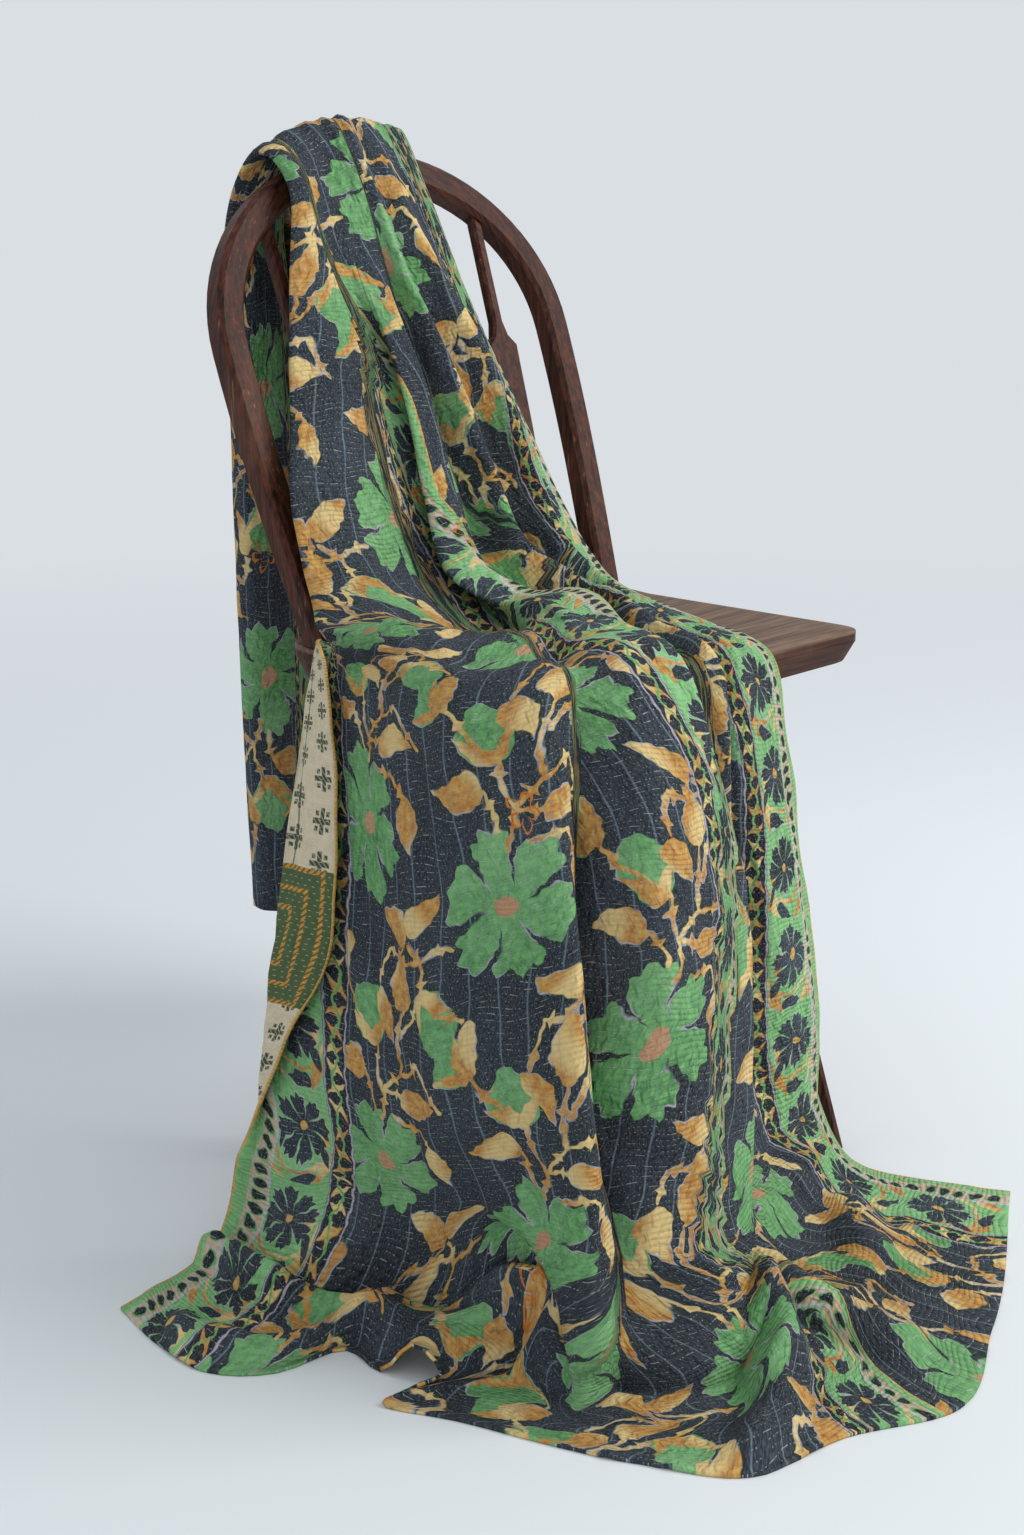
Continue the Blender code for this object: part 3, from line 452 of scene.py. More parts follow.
class Paint:
    """One material and the nodes it is made of."""

    def __init__(self, name, colour=(0.5, 0.5, 0.5), roughness=0.8, specular=0.3):
        self.material = bpy.data.materials.new(name)
        self.material.use_nodes = True
        self.tree = self.material.node_tree
        self.shader = self.tree.nodes["Principled BSDF"]
        self.shader.inputs["Base Color"].default_value = (*colour, 1.0)
        self.shader.inputs["Roughness"].default_value = roughness
        self.shader.inputs["Specular IOR Level"].default_value = specular
        self.material.diffuse_color = (*colour, 1.0)

    def node(self, kind, values=None, output=0, **settings):
        """Adds a node, sets its settings, then its sockets, and returns one output."""
        made = self.tree.nodes.new(kind)
        for key, setting in settings.items():
            setattr(made, key, setting)
        for key, value in (values or {}).items():
            self.feed(made.inputs[key], value)
        return Value(self, made.outputs[output])

    def feed(self, socket, value):
        if isinstance(value, Value):
            self.tree.links.new(value.socket, socket)
        elif value is not None:
            socket.default_value = value

    def math(self, operation, a, b=None, c=None, clamp=False):
        values = {0: a, 1: b, 2: c}
        return self.node("ShaderNodeMath", values, operation=operation, use_clamp=clamp)

    def ramp(self, value, gain, shift):
        """The value times a gain, plus a shift, kept between 0 and 1."""
        return self.math("MULTIPLY_ADD", value, gain, shift, clamp=True)

    def reach(self, dx, dy):
        """Distance from a middle that lies dx and dy away."""
        return self.math("SQRT", self.math("MULTIPLY_ADD", dx, dx, dy * dy))

    def least(self, first, *others):
        for other in others:
            first = self.math("MINIMUM", first, other)
        return first

    def most(self, first, *others):
        for other in others:
            first = self.math("MAXIMUM", first, other)
        return first

    def inside(self, distance, soft=0.5):
        """1 where the distance is below zero, 0 above, with a soft edge."""
        return self.ramp(distance, -1.0 / soft, 0.5)

    def mix(self, share, under, over):
        return self.node("ShaderNodeMix", {0: share, 6: under, 7: over}, 2, data_type="RGBA")

    def vector(self, x, y, z=0.0):
        return self.node("ShaderNodeCombineXYZ", {0: x, 1: y, 2: z})

    def noise(self, place, scale, detail=2.0, rough=0.5, flat=False):
        """Noise in space or, where `flat`, on the cloth's own map."""
        values = {"Vector": place, "Scale": scale, "Detail": detail, "Roughness": rough}
        return self.node("ShaderNodeTexNoise", values, noise_dimensions="2D" if flat else "3D")

    def sway(self, one, other, length, phase=0.0):
        """A wave along `one`, 0 to 1, whose crests wander with `other`."""
        turn = 2 * math.pi / length
        wander = self.math("SINE", self.math("MULTIPLY_ADD", other, turn * WANDER_PACE, phase))
        carried = self.math("MULTIPLY_ADD", one, turn, wander * WANDER)
        return self.math("MULTIPLY_ADD", self.math("SINE", carried), 0.5, 0.5)

    def parts(self, vector):
        made = self.node("ShaderNodeSeparateXYZ", {0: vector})
        outputs = made.socket.node.outputs
        return [Value(self, outputs[i]) for i in range(3)]

    def colour(self, value):
        self.feed(self.shader.inputs["Base Color"], value)

    def roughness(self, value):
        self.feed(self.shader.inputs["Roughness"], value)

    def relief(self, height, distance, strength=1.0):
        values = {"Height": height, "Distance": distance, "Strength": strength}
        bump = self.node("ShaderNodeBump", values)
        self.feed(self.shader.inputs["Normal"], bump)


def tone(red, green, blue):
    """A colour given as it looks on a screen, 0 to 255, as linear light."""
    out = []
    for c in (red, green, blue):
        c /= 255.0
        out.append(c / 12.92 if c <= 0.04045 else ((c + 0.055) / 1.055) ** 2.4)
    return (*out, 1.0)


# ---------------------------------------------------------------- the print, in mm
MM = 1000.0
GROUND = tone(32, 38, 48)
GROUND_FADED = tone(62, 72, 84)
GREEN = tone(110, 178, 104)
GREEN_LIGHT = tone(160, 214, 152)
GREEN_DEEP = tone(70, 130, 72)
OCHRE = tone(218, 172, 92)
OCHRE_LIGHT = tone(238, 212, 146)
OCHRE_DEEP = tone(190, 126, 56)
OUTLINE = tone(200, 196, 206)
SHADOW_GREEN = tone(32, 54, 38)
PINSTRIPE = tone(122, 142, 156)
THREAD = tone(216, 220, 216)
CENTRE = tone(198, 150, 112)
FLOSS = tone(214, 120, 28)

COLUMN = 142.0            # between columns of flowers across the cloth
REPEAT = 240.0            # between flowers down a column
DROP = 57.0               # how much lower each column starts than the one before
FLOWER_AT = (-34.0, -26.0)
FLOWER_RADIUS = 46.0
EYE_RADIUS = 8.0
FIELD_SHIFT = -20.0       # moves the repeat across the first width of cloth
SECOND_SHIFT = 62.0       # and this much more on the second
STRIPE_STEP = 23.0        # between the thin lines woven down the cloth
STITCH = 5.4              # from stitch to stitch, and from row to row
STITCH_ROW = 3.8
# One repeat, charted in mm across and down from its flower.  Its two groups are each
# small enough to fit in one repeat's width and length round their middles.
UPPER_GROUP = (12.0, -75.0)
UPPER_LEAVES = [  # across, down, turn in degrees towards the tip, length, width, bend
    (-27, -77, 192, 42, 24, 0.18),
    (47, -142, -88, 44, 24, -0.12),
    (55, -54, 18, 38, 23, 0.16),
    (61, 0, 84, 38, 17, 0.12),
]
UPPER_BUDS = [(0, -112, -96, 44), (-52, -144, -150, 42)]
UPPER_TWIGS = [  # across and down at one end, then at the other
    (8, -36, 14, -58), (14, -58, 35, -76), (35, -76, 45, -120), (14, -58, 9, -94),
    (14, -58, 37, -57), (2, -44, -6, -73), (35, -76, 60, -81), (60, -81, 79, -50),
    (24, -38, 46, -35), (46, -35, 59, -18), (45, -100, 64, -124), (10, -90, -34, -134),
]
LOWER_GROUP = (-75.0, 40.0)
LOWER_LEAVES = [
    (-70, -4, -52, 38, 21, -0.14),
    (-103, 0, -140, 38, 21, 0.16),
    (-30, 92, 100, 36, 16, 0.12),
    (-118, 68, 70, 38, 21, 0.16),
]
LOWER_BUDS = [(-60, 69, 62, 43)]
LOWER_TWIGS = [
    (-84, 14, -70, 27), (-70, 27, -44, 22), (-70, 27, -69, 50), (-89, 13, -99, 25),
    (-99, 25, -115, 23), (-70, 27, -99, 25), (-115, 23, -124, 48), (-69, 50, -34, 73),
]
# Lines of the border, counted from its selvedge.
EDGE_LINE = 1.6
BEAD_LINE = 16.5          # middle of the row of beads, and half its width
BEAD_HALF = 7.5
BEAD_STEP = 12.0
BEAD_RULE = 24.8
BORDER_STEP = 74.0        # between its flowers
STRIP_FROM = 78.0         # where the strip with the wave begins
STRIP_RULES = (79.0, 97.0)
WAVE_LINE = 88.0
WAVE_STEP = 30.0
SPOT_STEP = 15.0

DAISIES = [  # sewn on by hand: mm across the cloth, mm down it from the hoop, radius
    (290, 752, 12), (315, 1144, 14), (699, 356, 11), (130, -345, 12), (1002, 937, 10),
]


class Print:
    """Motifs on a map whose x runs across the cloth and y down it, in mm."""

    def __init__(self, paint, x, y):
        self.paint, self.x, self.y = paint, x, y

    def beside(self, at_x, at_y, step_x=COLUMN, step_y=REPEAT, drop=DROP):
        """Distances across and down from the nearest copy of a point in the repeat."""
        across, paint = self.x - at_x, self.paint
        column = paint.math("FLOOR", paint.math("MULTIPLY_ADD", across, 1 / step_x, 0.5))
        dx = paint.math("MULTIPLY_ADD", column, -step_x, across)
        dy = paint.math("MULTIPLY_ADD", column, -drop, self.y - (at_y - step_y / 2))
        return dx, dy % step_y - step_y / 2

    def turned(self, dx, dy, degrees):
        """Distances along and aside of a direction this many degrees round."""
        c, s = math.cos(math.radians(degrees)), math.sin(math.radians(degrees))
        along = self.paint.math("MULTIPLY_ADD", dx, c, dy * s)
        return along, self.paint.math("MULTIPLY_ADD", dy, c, dx * -s)

    def flower(self, dx, dy, radius, turn=0.2, petals=6, gap=6.5):
        """Distance outside a flower of broad toothed petals, and the distance from its
        middle.  The slits between the petals widen outwards from a solid eye."""
        paint = self.paint
        reach = paint.reach(dx, dy)
        angle = paint.math("ARCTAN2", dy, dx) + (turn + 2 * math.pi)
        wedge = (angle * (petals / (2 * math.pi))) % 1.0 - 0.5    # 0 in the middle of a petal
        lobe = 1.0 - abs(wedge * 2.0) ** 3.0
        teeth = abs((wedge * 3.0 + 5.5) % 1.0 - 0.5) * (0.30 * radius)
        edge = lobe * (0.30 * radius) + 0.80 * radius - teeth
        slit = paint.math("SINE", (0.5 - abs(wedge)) * (2 * math.pi / petals)) * reach
        open_slit = paint.math("MULTIPLY_ADD", reach, gap / radius, -0.30 * gap) - slit
        return paint.most(reach - edge, open_slit), reach

    def leaf(self, dx, dy, turn, length, width, bend=0.0, blunt=False):
        """Distance outside a leaf, round at its stalk, whose pointed tip bends aside.  A
        blunt one is as round at its tip."""
        paint = self.paint
        along, aside = self.turned(dx, dy, turn)
        share = paint.ramp(along, 1 / length, 0.5)
        if bend:
            aside = aside - 0.25 * bend * length
            aside = paint.math("MULTIPLY_ADD", share * share, bend * length, aside)
        if blunt:
            half = paint.math("SQRT", share * (1 - share)) * width
        else:
            half = paint.math("SQRT", share) * (1 - share) * (width * 1.3)
        past = abs(along) - length / 2
        return paint.most(abs(aside) - half + 0.4, past)

    def bud(self, dx, dy, turn, length):
        """Distances outside a bud's green cup and outside the two ochre sepals that part
        from its stalk."""
        along, aside = self.turned(dx, dy, turn)
        cup = self.leaf(along, aside, 0, length, length * 0.88, 0.06, True)
        sepals = []
        for side in (-1, 1):
            swing = math.radians(side * 38)
            out = length * 0.34
            at = (along + length / 2 - out * math.cos(swing), aside - out * math.sin(swing))
            sepals.append(self.leaf(*at, side * 38, length * 0.72, length * 0.25, side * -0.1))
        return cup, self.paint.least(*sepals)

    def twig(self, dx, dy, x0, y0, x1, y1, half=1.45):
        """Distance outside a thorny twig between two points of a group."""
        paint = self.paint
        length = math.hypot(x1 - x0, y1 - y0)
        middle = (dx - (x0 + x1) / 2, dy - (y0 + y1) / 2)
        along, aside = self.turned(*middle, math.degrees(math.atan2(y1 - y0, x1 - x0)))
        past = paint.most(abs(along) - length / 2, 0.0)
        thorn = paint.most(3.8 - abs(along - length * 0.18) * 1.5, 0.0)
        return past + (abs(aside) - half) - thorn

    def group(self, middle, leaves, buds, twigs):
        """Distances outside the green and outside the ochre of one group of the repeat."""
        dx, dy = self.beside(FLOWER_AT[0] + middle[0], FLOWER_AT[1] + middle[1])
        dx, dy = dx + middle[0], dy + middle[1]
        green, ochre = [], []
        for at_x, at_y, turn, length, width, bend in leaves:
            ochre.append(self.leaf(dx - at_x, dy - at_y, turn, length, width, bend))
        for at_x, at_y, turn, length in buds:
            cup, sepals = self.bud(dx - at_x, dy - at_y, turn, length)
            green.append(cup)
            ochre.append(sepals)
        for ends in twigs:
            ochre.append(self.twig(dx, dy, *ends))
        return self.paint.least(*green), self.paint.least(*ochre)


def sewn_daisy(paint, x, y, at_x, at_y, radius):
    """Distance outside the line of stitches round a five-petalled daisy."""
    dx, dy = x - at_x, y - at_y
    reach = paint.reach(dx, dy)
    lobe = abs(paint.math("COSINE", paint.math("ARCTAN2", dy, dx) * 2.5))
    return abs(reach - (lobe * (0.62 * radius) + 0.36 * radius)) - 1.0


def vine_field(paint, x, y):
    """The open cloth's flowers, leaves, buds and twigs: distances outside the green and
    outside the ochre, and outside the flowers' eyes."""
    motifs = Print(paint, x, y)
    petals, reach = motifs.flower(*motifs.beside(*FLOWER_AT), FLOWER_RADIUS)
    cups, upper = motifs.group(UPPER_GROUP, UPPER_LEAVES, UPPER_BUDS, UPPER_TWIGS)
    more_cups, lower = motifs.group(LOWER_GROUP, LOWER_LEAVES, LOWER_BUDS, LOWER_TWIGS)
    green = paint.least(petals, cups, more_cups)
    return green, paint.least(upper, lower), reach - EYE_RADIUS


def band_of_flowers(paint, w, y):
    """The printed border, w mm from its selvedge: distances outside its dark flowers, its
    ochre scrolls and leaves, and its flower centres."""
    motifs = Print(paint, w, y)
    flat = dict(step_x=MM, step_y=BORDER_STEP, drop=0.0)
    dx, dy = motifs.beside(50, 20, **flat)
    petals, reach = motifs.flower(dx, dy, 23, 0.5, 8, 2.2)
    scroll = paint.most(abs(reach - 30.0) - 1.5, 6.0 - dy)
    leaves = [motifs.leaf(*motifs.beside(70, 52, **flat), 118, 26, 10),
              motifs.leaf(*motifs.beside(31, 56, **flat), 40, 26, 9),
              motifs.leaf(*motifs.beside(70, 22, **flat), -80, 22, 8)]
    dark = [motifs.leaf(*motifs.beside(54, 58, **flat), 160, 24, 12),
            motifs.leaf(*motifs.beside(31, 26, **flat), 100, 22, 8),
            motifs.leaf(*motifs.beside(72, 40, **flat), 60, 18, 8)]
    return paint.least(petals, *dark), paint.least(scroll, *leaves), reach - 3.6


def running_stitches(paint, x, y, stitch, row_step, half_wide, soft_wide, half_long, soft_long):
    """Distance from the nearest row of stitches, and 1 on the stitches themselves.  Each
    row starts at its own place."""
    row_place = y / row_step
    row = paint.math("FLOOR", row_place)
    start = paint.node("ShaderNodeTexWhiteNoise", {"W": row}, noise_dimensions="1D")
    off_row = abs(row_place - row - 0.5) * row_step
    length = abs((x / stitch + start * 7.0) % 1.0 - 0.5)
    in_row = paint.inside(off_row - half_wide, soft_wide)
    return off_row, in_row * paint.inside(length - half_long, soft_long)


def edge_beads(paint, w, down, wobble, mottle):
    """The row of dark beads along the selvedge."""
    beads = paint.mix(mottle, OCHRE, OUTLINE)
    bead_x, bead_y = abs(w - BEAD_LINE), abs(down % BEAD_STEP - BEAD_STEP / 2)
    bead = paint.math("SQRT", bead_x * bead_x * 0.9 + bead_y * bead_y * 1.6) - 4.6 - wobble
    beads = paint.mix(paint.inside(bead - 1.2, 0.6), beads, GREEN)
    return paint.mix(paint.inside(bead, 0.7), beads, GROUND)


def inner_strip(paint, w, down, sepal):
    """The border's inner strip: a broad ochre wave with dark spots on it, crossed by a
    thin green one."""
    off = w - WAVE_LINE
    wave = paint.math("SINE", down * (2 * math.pi / WAVE_STEP)) * 3.0
    strip = paint.mix(paint.inside(abs(off - wave) - 4.6, 0.8), GROUND, sepal)
    strip = paint.mix(paint.inside(abs(off + wave) - 1.0, 0.7), strip, GREEN)
    spot_x, spot_y = off - wave, down % SPOT_STEP - SPOT_STEP / 2
    spot_turn = paint.math("ARCTAN2", spot_y, spot_x)
    spot_edge = abs(paint.math("COSINE", spot_turn * 2.0)) * 1.3 + 3.9
    strip = paint.mix(paint.inside(paint.reach(spot_x, spot_y) - spot_edge, 0.6), strip, GROUND)
    rules = paint.least(abs(w - STRIP_RULES[0]) - 0.6, abs(w - STRIP_RULES[1]) - 0.7)
    return paint.mix(paint.inside(rules, 0.7) * 0.8, strip, OUTLINE)


def printed_cotton():
    """The quilt's face: the print, faded by washing, under rows of running stitches."""
    paint = Paint("printed_cotton", (0.10, 0.16, 0.10), 0.9, 0.18)
    cloth = paint.node("ShaderNodeUVMap", uv_map="cloth")
    across, along, _ = paint.parts(cloth)
    x0, y0 = across * MM, along * MM
    plain = paint.vector(x0, y0)
    drift_x, drift_y = paint.sway(y0, x0, 47.0), paint.sway(x0, y0, 61.0, 1.3)
    fine_x, fine_y = paint.sway(y0, x0, 11.3, 0.7), paint.sway(x0, y0, 12.7, 2.1)
    x = x0 + (drift_x - 0.5) * 5.0 + (fine_x - 0.5) * 1.3
    y = y0 + (drift_y - 0.5) * 5.0 + (fine_y - 0.5) * 1.3
    worn = paint.noise(plain, 0.011, 3.0, 0.6, True)
    mottle = paint.noise(plain, 0.16, 2.0, 0.6, True)
    grain = paint.noise(paint.vector(x0, y0 * 0.35), 1.1, 1.0, 0.7, True)

    # open cloth between the borders
    second = x0 > JOIN * MM
    field_x = x + second * SECOND_SHIFT + FIELD_SHIFT
    green, ochre, centre = vine_field(paint, field_x, y)
    motif = paint.least(green, ochre)
    fade = paint.ramp(worn, 1.8, -0.45)
    ground = paint.mix(fade * 0.65 + mottle * 0.2, GROUND, GROUND_FADED)
    stripe = abs((x0 + drift_x * 1.5) % STRIPE_STEP - STRIPE_STEP / 2)
    stripe = paint.inside(stripe - 0.55, 0.8)
    ground = paint.mix(stripe * (0.30 + worn * 0.55), ground, PINSTRIPE)
    smudge = paint.inside(motif - 3.0, 3.5) * (mottle * 1.5 - 0.3)
    ground = paint.mix(paint.least(paint.most(smudge, 0.0), 0.8), ground, SHADOW_GREEN)
    break_up = paint.ramp(drift_x, 2.4, -0.8)
    rim = paint.inside(motif - 0.9, 0.7) * break_up * 0.8
    ground = paint.mix(rim, ground, OUTLINE)
    leafage = paint.mix(paint.ramp(mottle, 2.6, -0.85), GREEN_DEEP, GREEN)
    leafage = paint.mix(fade * 0.6, leafage, GREEN_LIGHT)
    sepal = paint.mix(paint.ramp(mottle, 2.4, -0.7), OCHRE_DEEP, OCHRE)
    sepal = paint.mix(paint.ramp(drift_y, 2.0, -0.8) * 0.8, sepal, OCHRE_LIGHT)
    colour = paint.mix(paint.inside(green, 0.7), ground, leafage)
    colour = paint.mix(paint.inside(ochre, 0.7), colour, sepal)
    colour = paint.mix(paint.inside(centre, 1.2), colour, CENTRE)
    colour = paint.mix(stripe * 0.22, colour, PINSTRIPE)

    # borders along both selvedges and along the middle join
    join = (JOIN * MM - x0) + second * (2 * MM)
    w = paint.least(x0, QUILT_WIDTH * MM - x0, join) + (fine_y - 0.5) * 1.2
    # each border's flowers start at a place of their own
    down = y + (x0 > 500.0) * 37.0 + (x0 > 800.0) * 21.0
    dark, scroll, heart = band_of_flowers(paint, w, down)
    band = paint.mix(mottle * 0.9, GREEN, GREEN_LIGHT)
    rim = paint.inside(paint.least(dark, scroll) - 1.0, 0.8) * break_up
    band = paint.mix(rim * 0.5, band, OUTLINE)
    band = paint.mix(paint.inside(scroll, 0.7), band, sepal)
    band = paint.mix(paint.inside(dark, 0.7), band, paint.mix(fade, GROUND, GROUND_FADED))
    band = paint.mix(paint.inside(heart, 0.8), band, OCHRE)
    beads = edge_beads(paint, w, down, (fine_x - 0.5) * 1.6, mottle)
    band = paint.mix(paint.inside(abs(w - BEAD_LINE) - BEAD_HALF, 0.7), band, beads)
    band = paint.mix(paint.inside(abs(w - BEAD_RULE) - 0.9, 0.6), band, OUTLINE)
    band = paint.mix(w > STRIP_FROM, band, inner_strip(paint, w, down, sepal))
    band = paint.mix(stripe * 0.18, band, PINSTRIPE)
    band = paint.mix(paint.inside(w - EDGE_LINE, 0.8), band, OCHRE)
    colour = paint.mix(paint.inside(w - BORDER * MM, 0.5), colour, band)

    floss = paint.least(*[sewn_daisy(paint, x, y, *daisy) for daisy in DAISIES])
    colour = paint.mix(paint.inside(floss, 0.5), colour, FLOSS)

    # wear, weave and stitches
    colour = paint.mix(paint.ramp(grain, 1.6, -0.66) * 0.20, colour, THREAD)
    stitch_x = x0 + (fine_y - 0.5) * (0.9 * STITCH)
    stitch_y = y0 + drift_y * 4.0
    off_row, dash = running_stitches(paint, stitch_x, stitch_y, STITCH, STITCH_ROW,
                                     0.18, 0.36, 0.14, 0.08)
    colour = paint.mix(dash * (0.15 + mottle * 1.1), colour, THREAD)
    paint.colour(colour)
    paint.roughness(0.86 + mottle * 0.1)

    ripple = paint.noise(paint.vector(x0 / 5.2 + fine_x * 0.4, y0 / 15.0), 1.0, 1.0, 0.5, True)
    broad = paint.noise(paint.vector(x0 / 17.0, y0 / 34.0), 1.0, 0.0, 0.5, True)
    valley = paint.inside(off_row - 0.5, 1.6)
    weave = paint.math("SINE", x0 * 9.0) * paint.math("SINE", y0 * 9.0)
    height = ripple * 1.7 + broad * 1.1 - valley * 0.40 + dash * 0.3 + weave * 0.04
    paint.relief(height, 0.0030, 1.0)
    return paint.material


CREAM, CREAM_DEEP = tone(216, 204, 178), tone(190, 176, 146)
OLIVE, OLIVE_DEEP = tone(88, 104, 66), tone(66, 84, 52)
CROSS_GREEN, RULE_GREEN = tone(44, 62, 44), tone(70, 82, 60)
RING_FLOSS = tone(206, 140, 52)
CELL = 26.0               # mm from cross to cross
RULE_STEP = 78.0          # between the thin lines
BLOCK_FROM = 24.0         # where the repeat of the pieced squares starts
BLOCK_STEP = 330.0        # its length, with a row of squares in its middle
BLOCK_HALF = 52.0         # half a square's length
BLOCK_WIDTH = 110.0
RING_STEP = 13.0          # between a square's rings of stitches


def plain_reverse():
    """The quilt's back: an older cream print with crosses, and olive squares pieced in."""
    paint = Paint("reverse_cotton", (0.6, 0.52, 0.36), 0.92, 0.15)
    across, along, _ = paint.parts(paint.node("ShaderNodeUVMap", uv_map="cloth"))
    x, y = across * MM, along * MM
    mottle = paint.noise(paint.vector(x, y), 0.14, 2.0, 0.6, True)
    ground = paint.mix(mottle, CREAM_DEEP, CREAM)

    # a cross of four arms and four corner squares in each cell
    odd = paint.math("FLOOR", x / CELL) % 2.0
    cx, cy = abs(x % CELL - CELL / 2), abs((y + odd * (CELL / 2)) % CELL - CELL / 2)
    arms = paint.least(paint.most(cx - 1.8, cy - 8.0), paint.most(cx - 8.0, cy - 1.8))
    corners = paint.most(abs(cx - 4.6) - 1.5, abs(cy - 4.6) - 1.5)
    motif = paint.least(arms, corners)
    threads = paint.inside(motif, 0.5) * paint.inside(1.2 - abs((x + y) % 4.0 - 2.0) * 2.0, 1.0)
    cross = paint.inside(motif, 0.6) * (0.55 + threads * 0.4)
    cream = paint.mix(cross, ground, CROSS_GREEN)
    rule = paint.inside(abs(x % RULE_STEP - RULE_STEP / 2) - 0.8, 0.5)
    cream = paint.mix(rule * 0.8, cream, RULE_GREEN)

    # olive squares with rings of stitches
    block_y = (y - BLOCK_FROM) % BLOCK_STEP - BLOCK_STEP / 2
    ring = paint.most(abs(x % BLOCK_WIDTH - BLOCK_WIDTH / 2), abs(block_y) * 0.9)
    olive = paint.mix(mottle, OLIVE_DEEP, OLIVE)
    tracks = paint.inside(abs(ring % RING_STEP - RING_STEP / 2) - 1.6, 0.8)
    tracks = tracks * paint.inside(1.0 - abs((x - y) % 5.0 - 2.5), 1.0)
    olive = paint.mix(tracks * 0.9, olive, RING_FLOSS)
    colour = paint.mix(paint.inside(abs(block_y) - BLOCK_HALF, 0.6), cream, olive)
    off_row, dash = running_stitches(paint, x, y, 6.4, 4.2, 0.24, 0.3, 0.17, 0.05)
    paint.colour(paint.mix(dash * 0.5, colour, THREAD))
    ripple = paint.noise(paint.vector(x / 5.2, y / 15.0), 1.0, 1.0, 0.5, True)
    paint.relief(ripple * 1.2 - paint.inside(off_row - 0.5, 1.6) * 0.4, 0.0012, 0.9)
    return paint.material


# ---------------------------------------------------------------- the quilt
def smoothed(values, *widths):
    """A running mean, so many rows down and then so many columns across, to each side."""
    out = values
    for axis, width in enumerate(widths):
        pad = [(width, width) if a == axis else (0, 0) for a in (0, 1)]
        total = np.cumsum(np.pad(out, pad, mode="edge"), axis=axis)
        high, low = [slice(None), slice(None)], [slice(None), slice(None)]
        high[axis], low[axis] = slice(2 * width, None), slice(0, -2 * width)
        out = (total[tuple(high)] - total[tuple(low)]) / (2 * width)
    return out


def cloth_map(points, place, across):
    """Where each point of the sheet lies on the flat cloth, in metres.  Across a row the
    map keeps the cloth's own width and hides what is left over in the tucks."""
    down = np.linalg.norm(np.diff(points, axis=0), axis=2)
    down = np.vstack([np.zeros((1, points.shape[1])), np.cumsum(down, axis=0)])
    names = [row[0] for row in PRINT_LINES]
    down -= down[names.index("top") * ROWS_PER_SECTION][None]
    lines = cubic(np.arange(len(names)), np.array([row[1:] for row in PRINT_LINES]), place, True)
    flat = (0.0, BORDER, JOIN - BORDER, JOIN, QUILT_WIDTH - BORDER, QUILT_WIDTH)
    aside = np.empty(points.shape[:2])
    for r, row in enumerate(points):
        run = np.append(0.0, np.cumsum(np.linalg.norm(np.diff(row, axis=0), axis=1)))
        left, join_in, join_out, right, tuck_a, tuck_join, tuck_b, hidden = lines[r]
        knots = (0.0, left, join_in, join_out, right, QUILT_WIDTH)
        tucks = (left, tuck_a, tuck_join, tuck_b, right)
        for k, tuck in enumerate(tucks):
            panel = (across >= knots[k]) & (across <= knots[k + 1])
            start, end = np.interp(knots[k:k + 2], across, run)
            width = flat[k + 1] - flat[k]
            spare = max(width - (end - start), 0.0) * (hidden if 0 < k < 4 else 0.0)
            past = np.clip((across[panel] - tuck) / TUCK_WIDTH + 0.5, 0.0, 1.0)
            share = (run[panel] - start) / max(end - start, 1e-6)
            aside[r, panel] = flat[k] + (width - spare) * share + spare * past
    down = smoothed(down, *MAP_SPREAD)
    return aside, down * MAP_OWN + np.median(down, axis=1)[:, None] * (1 - MAP_OWN)


def crinkled(points, across, along):
    """The sheet with the low ripples that rows of stitches draw up in it."""
    normal = sheet_normals(points)
    seed = np.random.default_rng(4)
    height = np.zeros(points.shape[:2])
    for _ in range(RIPPLES):
        wave = seed.uniform(*RIPPLE_LENGTHS)
        turn = seed.normal(0.0, RIPPLE_TURN)
        phase = seed.uniform(0, 2 * math.pi)
        run = across * math.cos(turn) + along * math.sin(turn)
        height += np.cos(run * (2 * math.pi / wave) + phase)
    # where the cloth is gathered, its ripples are as much lower
    aside = np.linalg.norm(np.gradient(points, axis=1), axis=2) / np.gradient(across, axis=1)
    height *= RIPPLE_HEIGHT / math.sqrt(RIPPLES / 2) * np.clip(smoothed(aside, 3, 6), 0.15, 1.0)
    return points + normal * height[..., None]


def quilt():
    """The draped sheet with its thickness, its map and its two faces."""
    points, place, across = quilt_sheet(ROWS_PER_SECTION, COLS_PER_CREASE)
    cloth_x, cloth_y = cloth_map(points, place, across)
    points = crinkled(points, np.broadcast_to(across, cloth_y.shape), cloth_y)
    points[..., 2] = np.maximum(points[..., 2], QUILT_THICK / 2 + FLOOR_GAP)
    points = points + np.array(CHAIR_FOOT)
    rows, cols = points.shape[:2]
    sheet = bmesh.new()
    bmesh.ops.create_grid(sheet, x_segments=cols - 1, y_segments=rows - 1, size=0.5)
    spots = {}
    for vert in sheet.verts:
        spot = (round((vert.co.y + 0.5) * (rows - 1)), round((vert.co.x + 0.5) * (cols - 1)))
        vert.co = points[spot]
        spots[vert.index] = (cloth_x[spot], cloth_y[spot])
    bmesh.ops.reverse_faces(sheet, faces=sheet.faces)
    cloth = sheet.loops.layers.uv.new("cloth")
    for face in sheet.faces:
        face.smooth = True
        for loop in face.loops:
            loop[cloth].uv = spots[loop.vert.index]
    piece = made(sheet, "stitched_quilt", printed_cotton(), plain_reverse())
    thick = piece.modifiers.new("layers", "SOLIDIFY")
    thick.thickness, thick.offset = QUILT_THICK, 0.0
    thick.material_offset = 1
    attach(piece, "root")
    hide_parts("quilt")


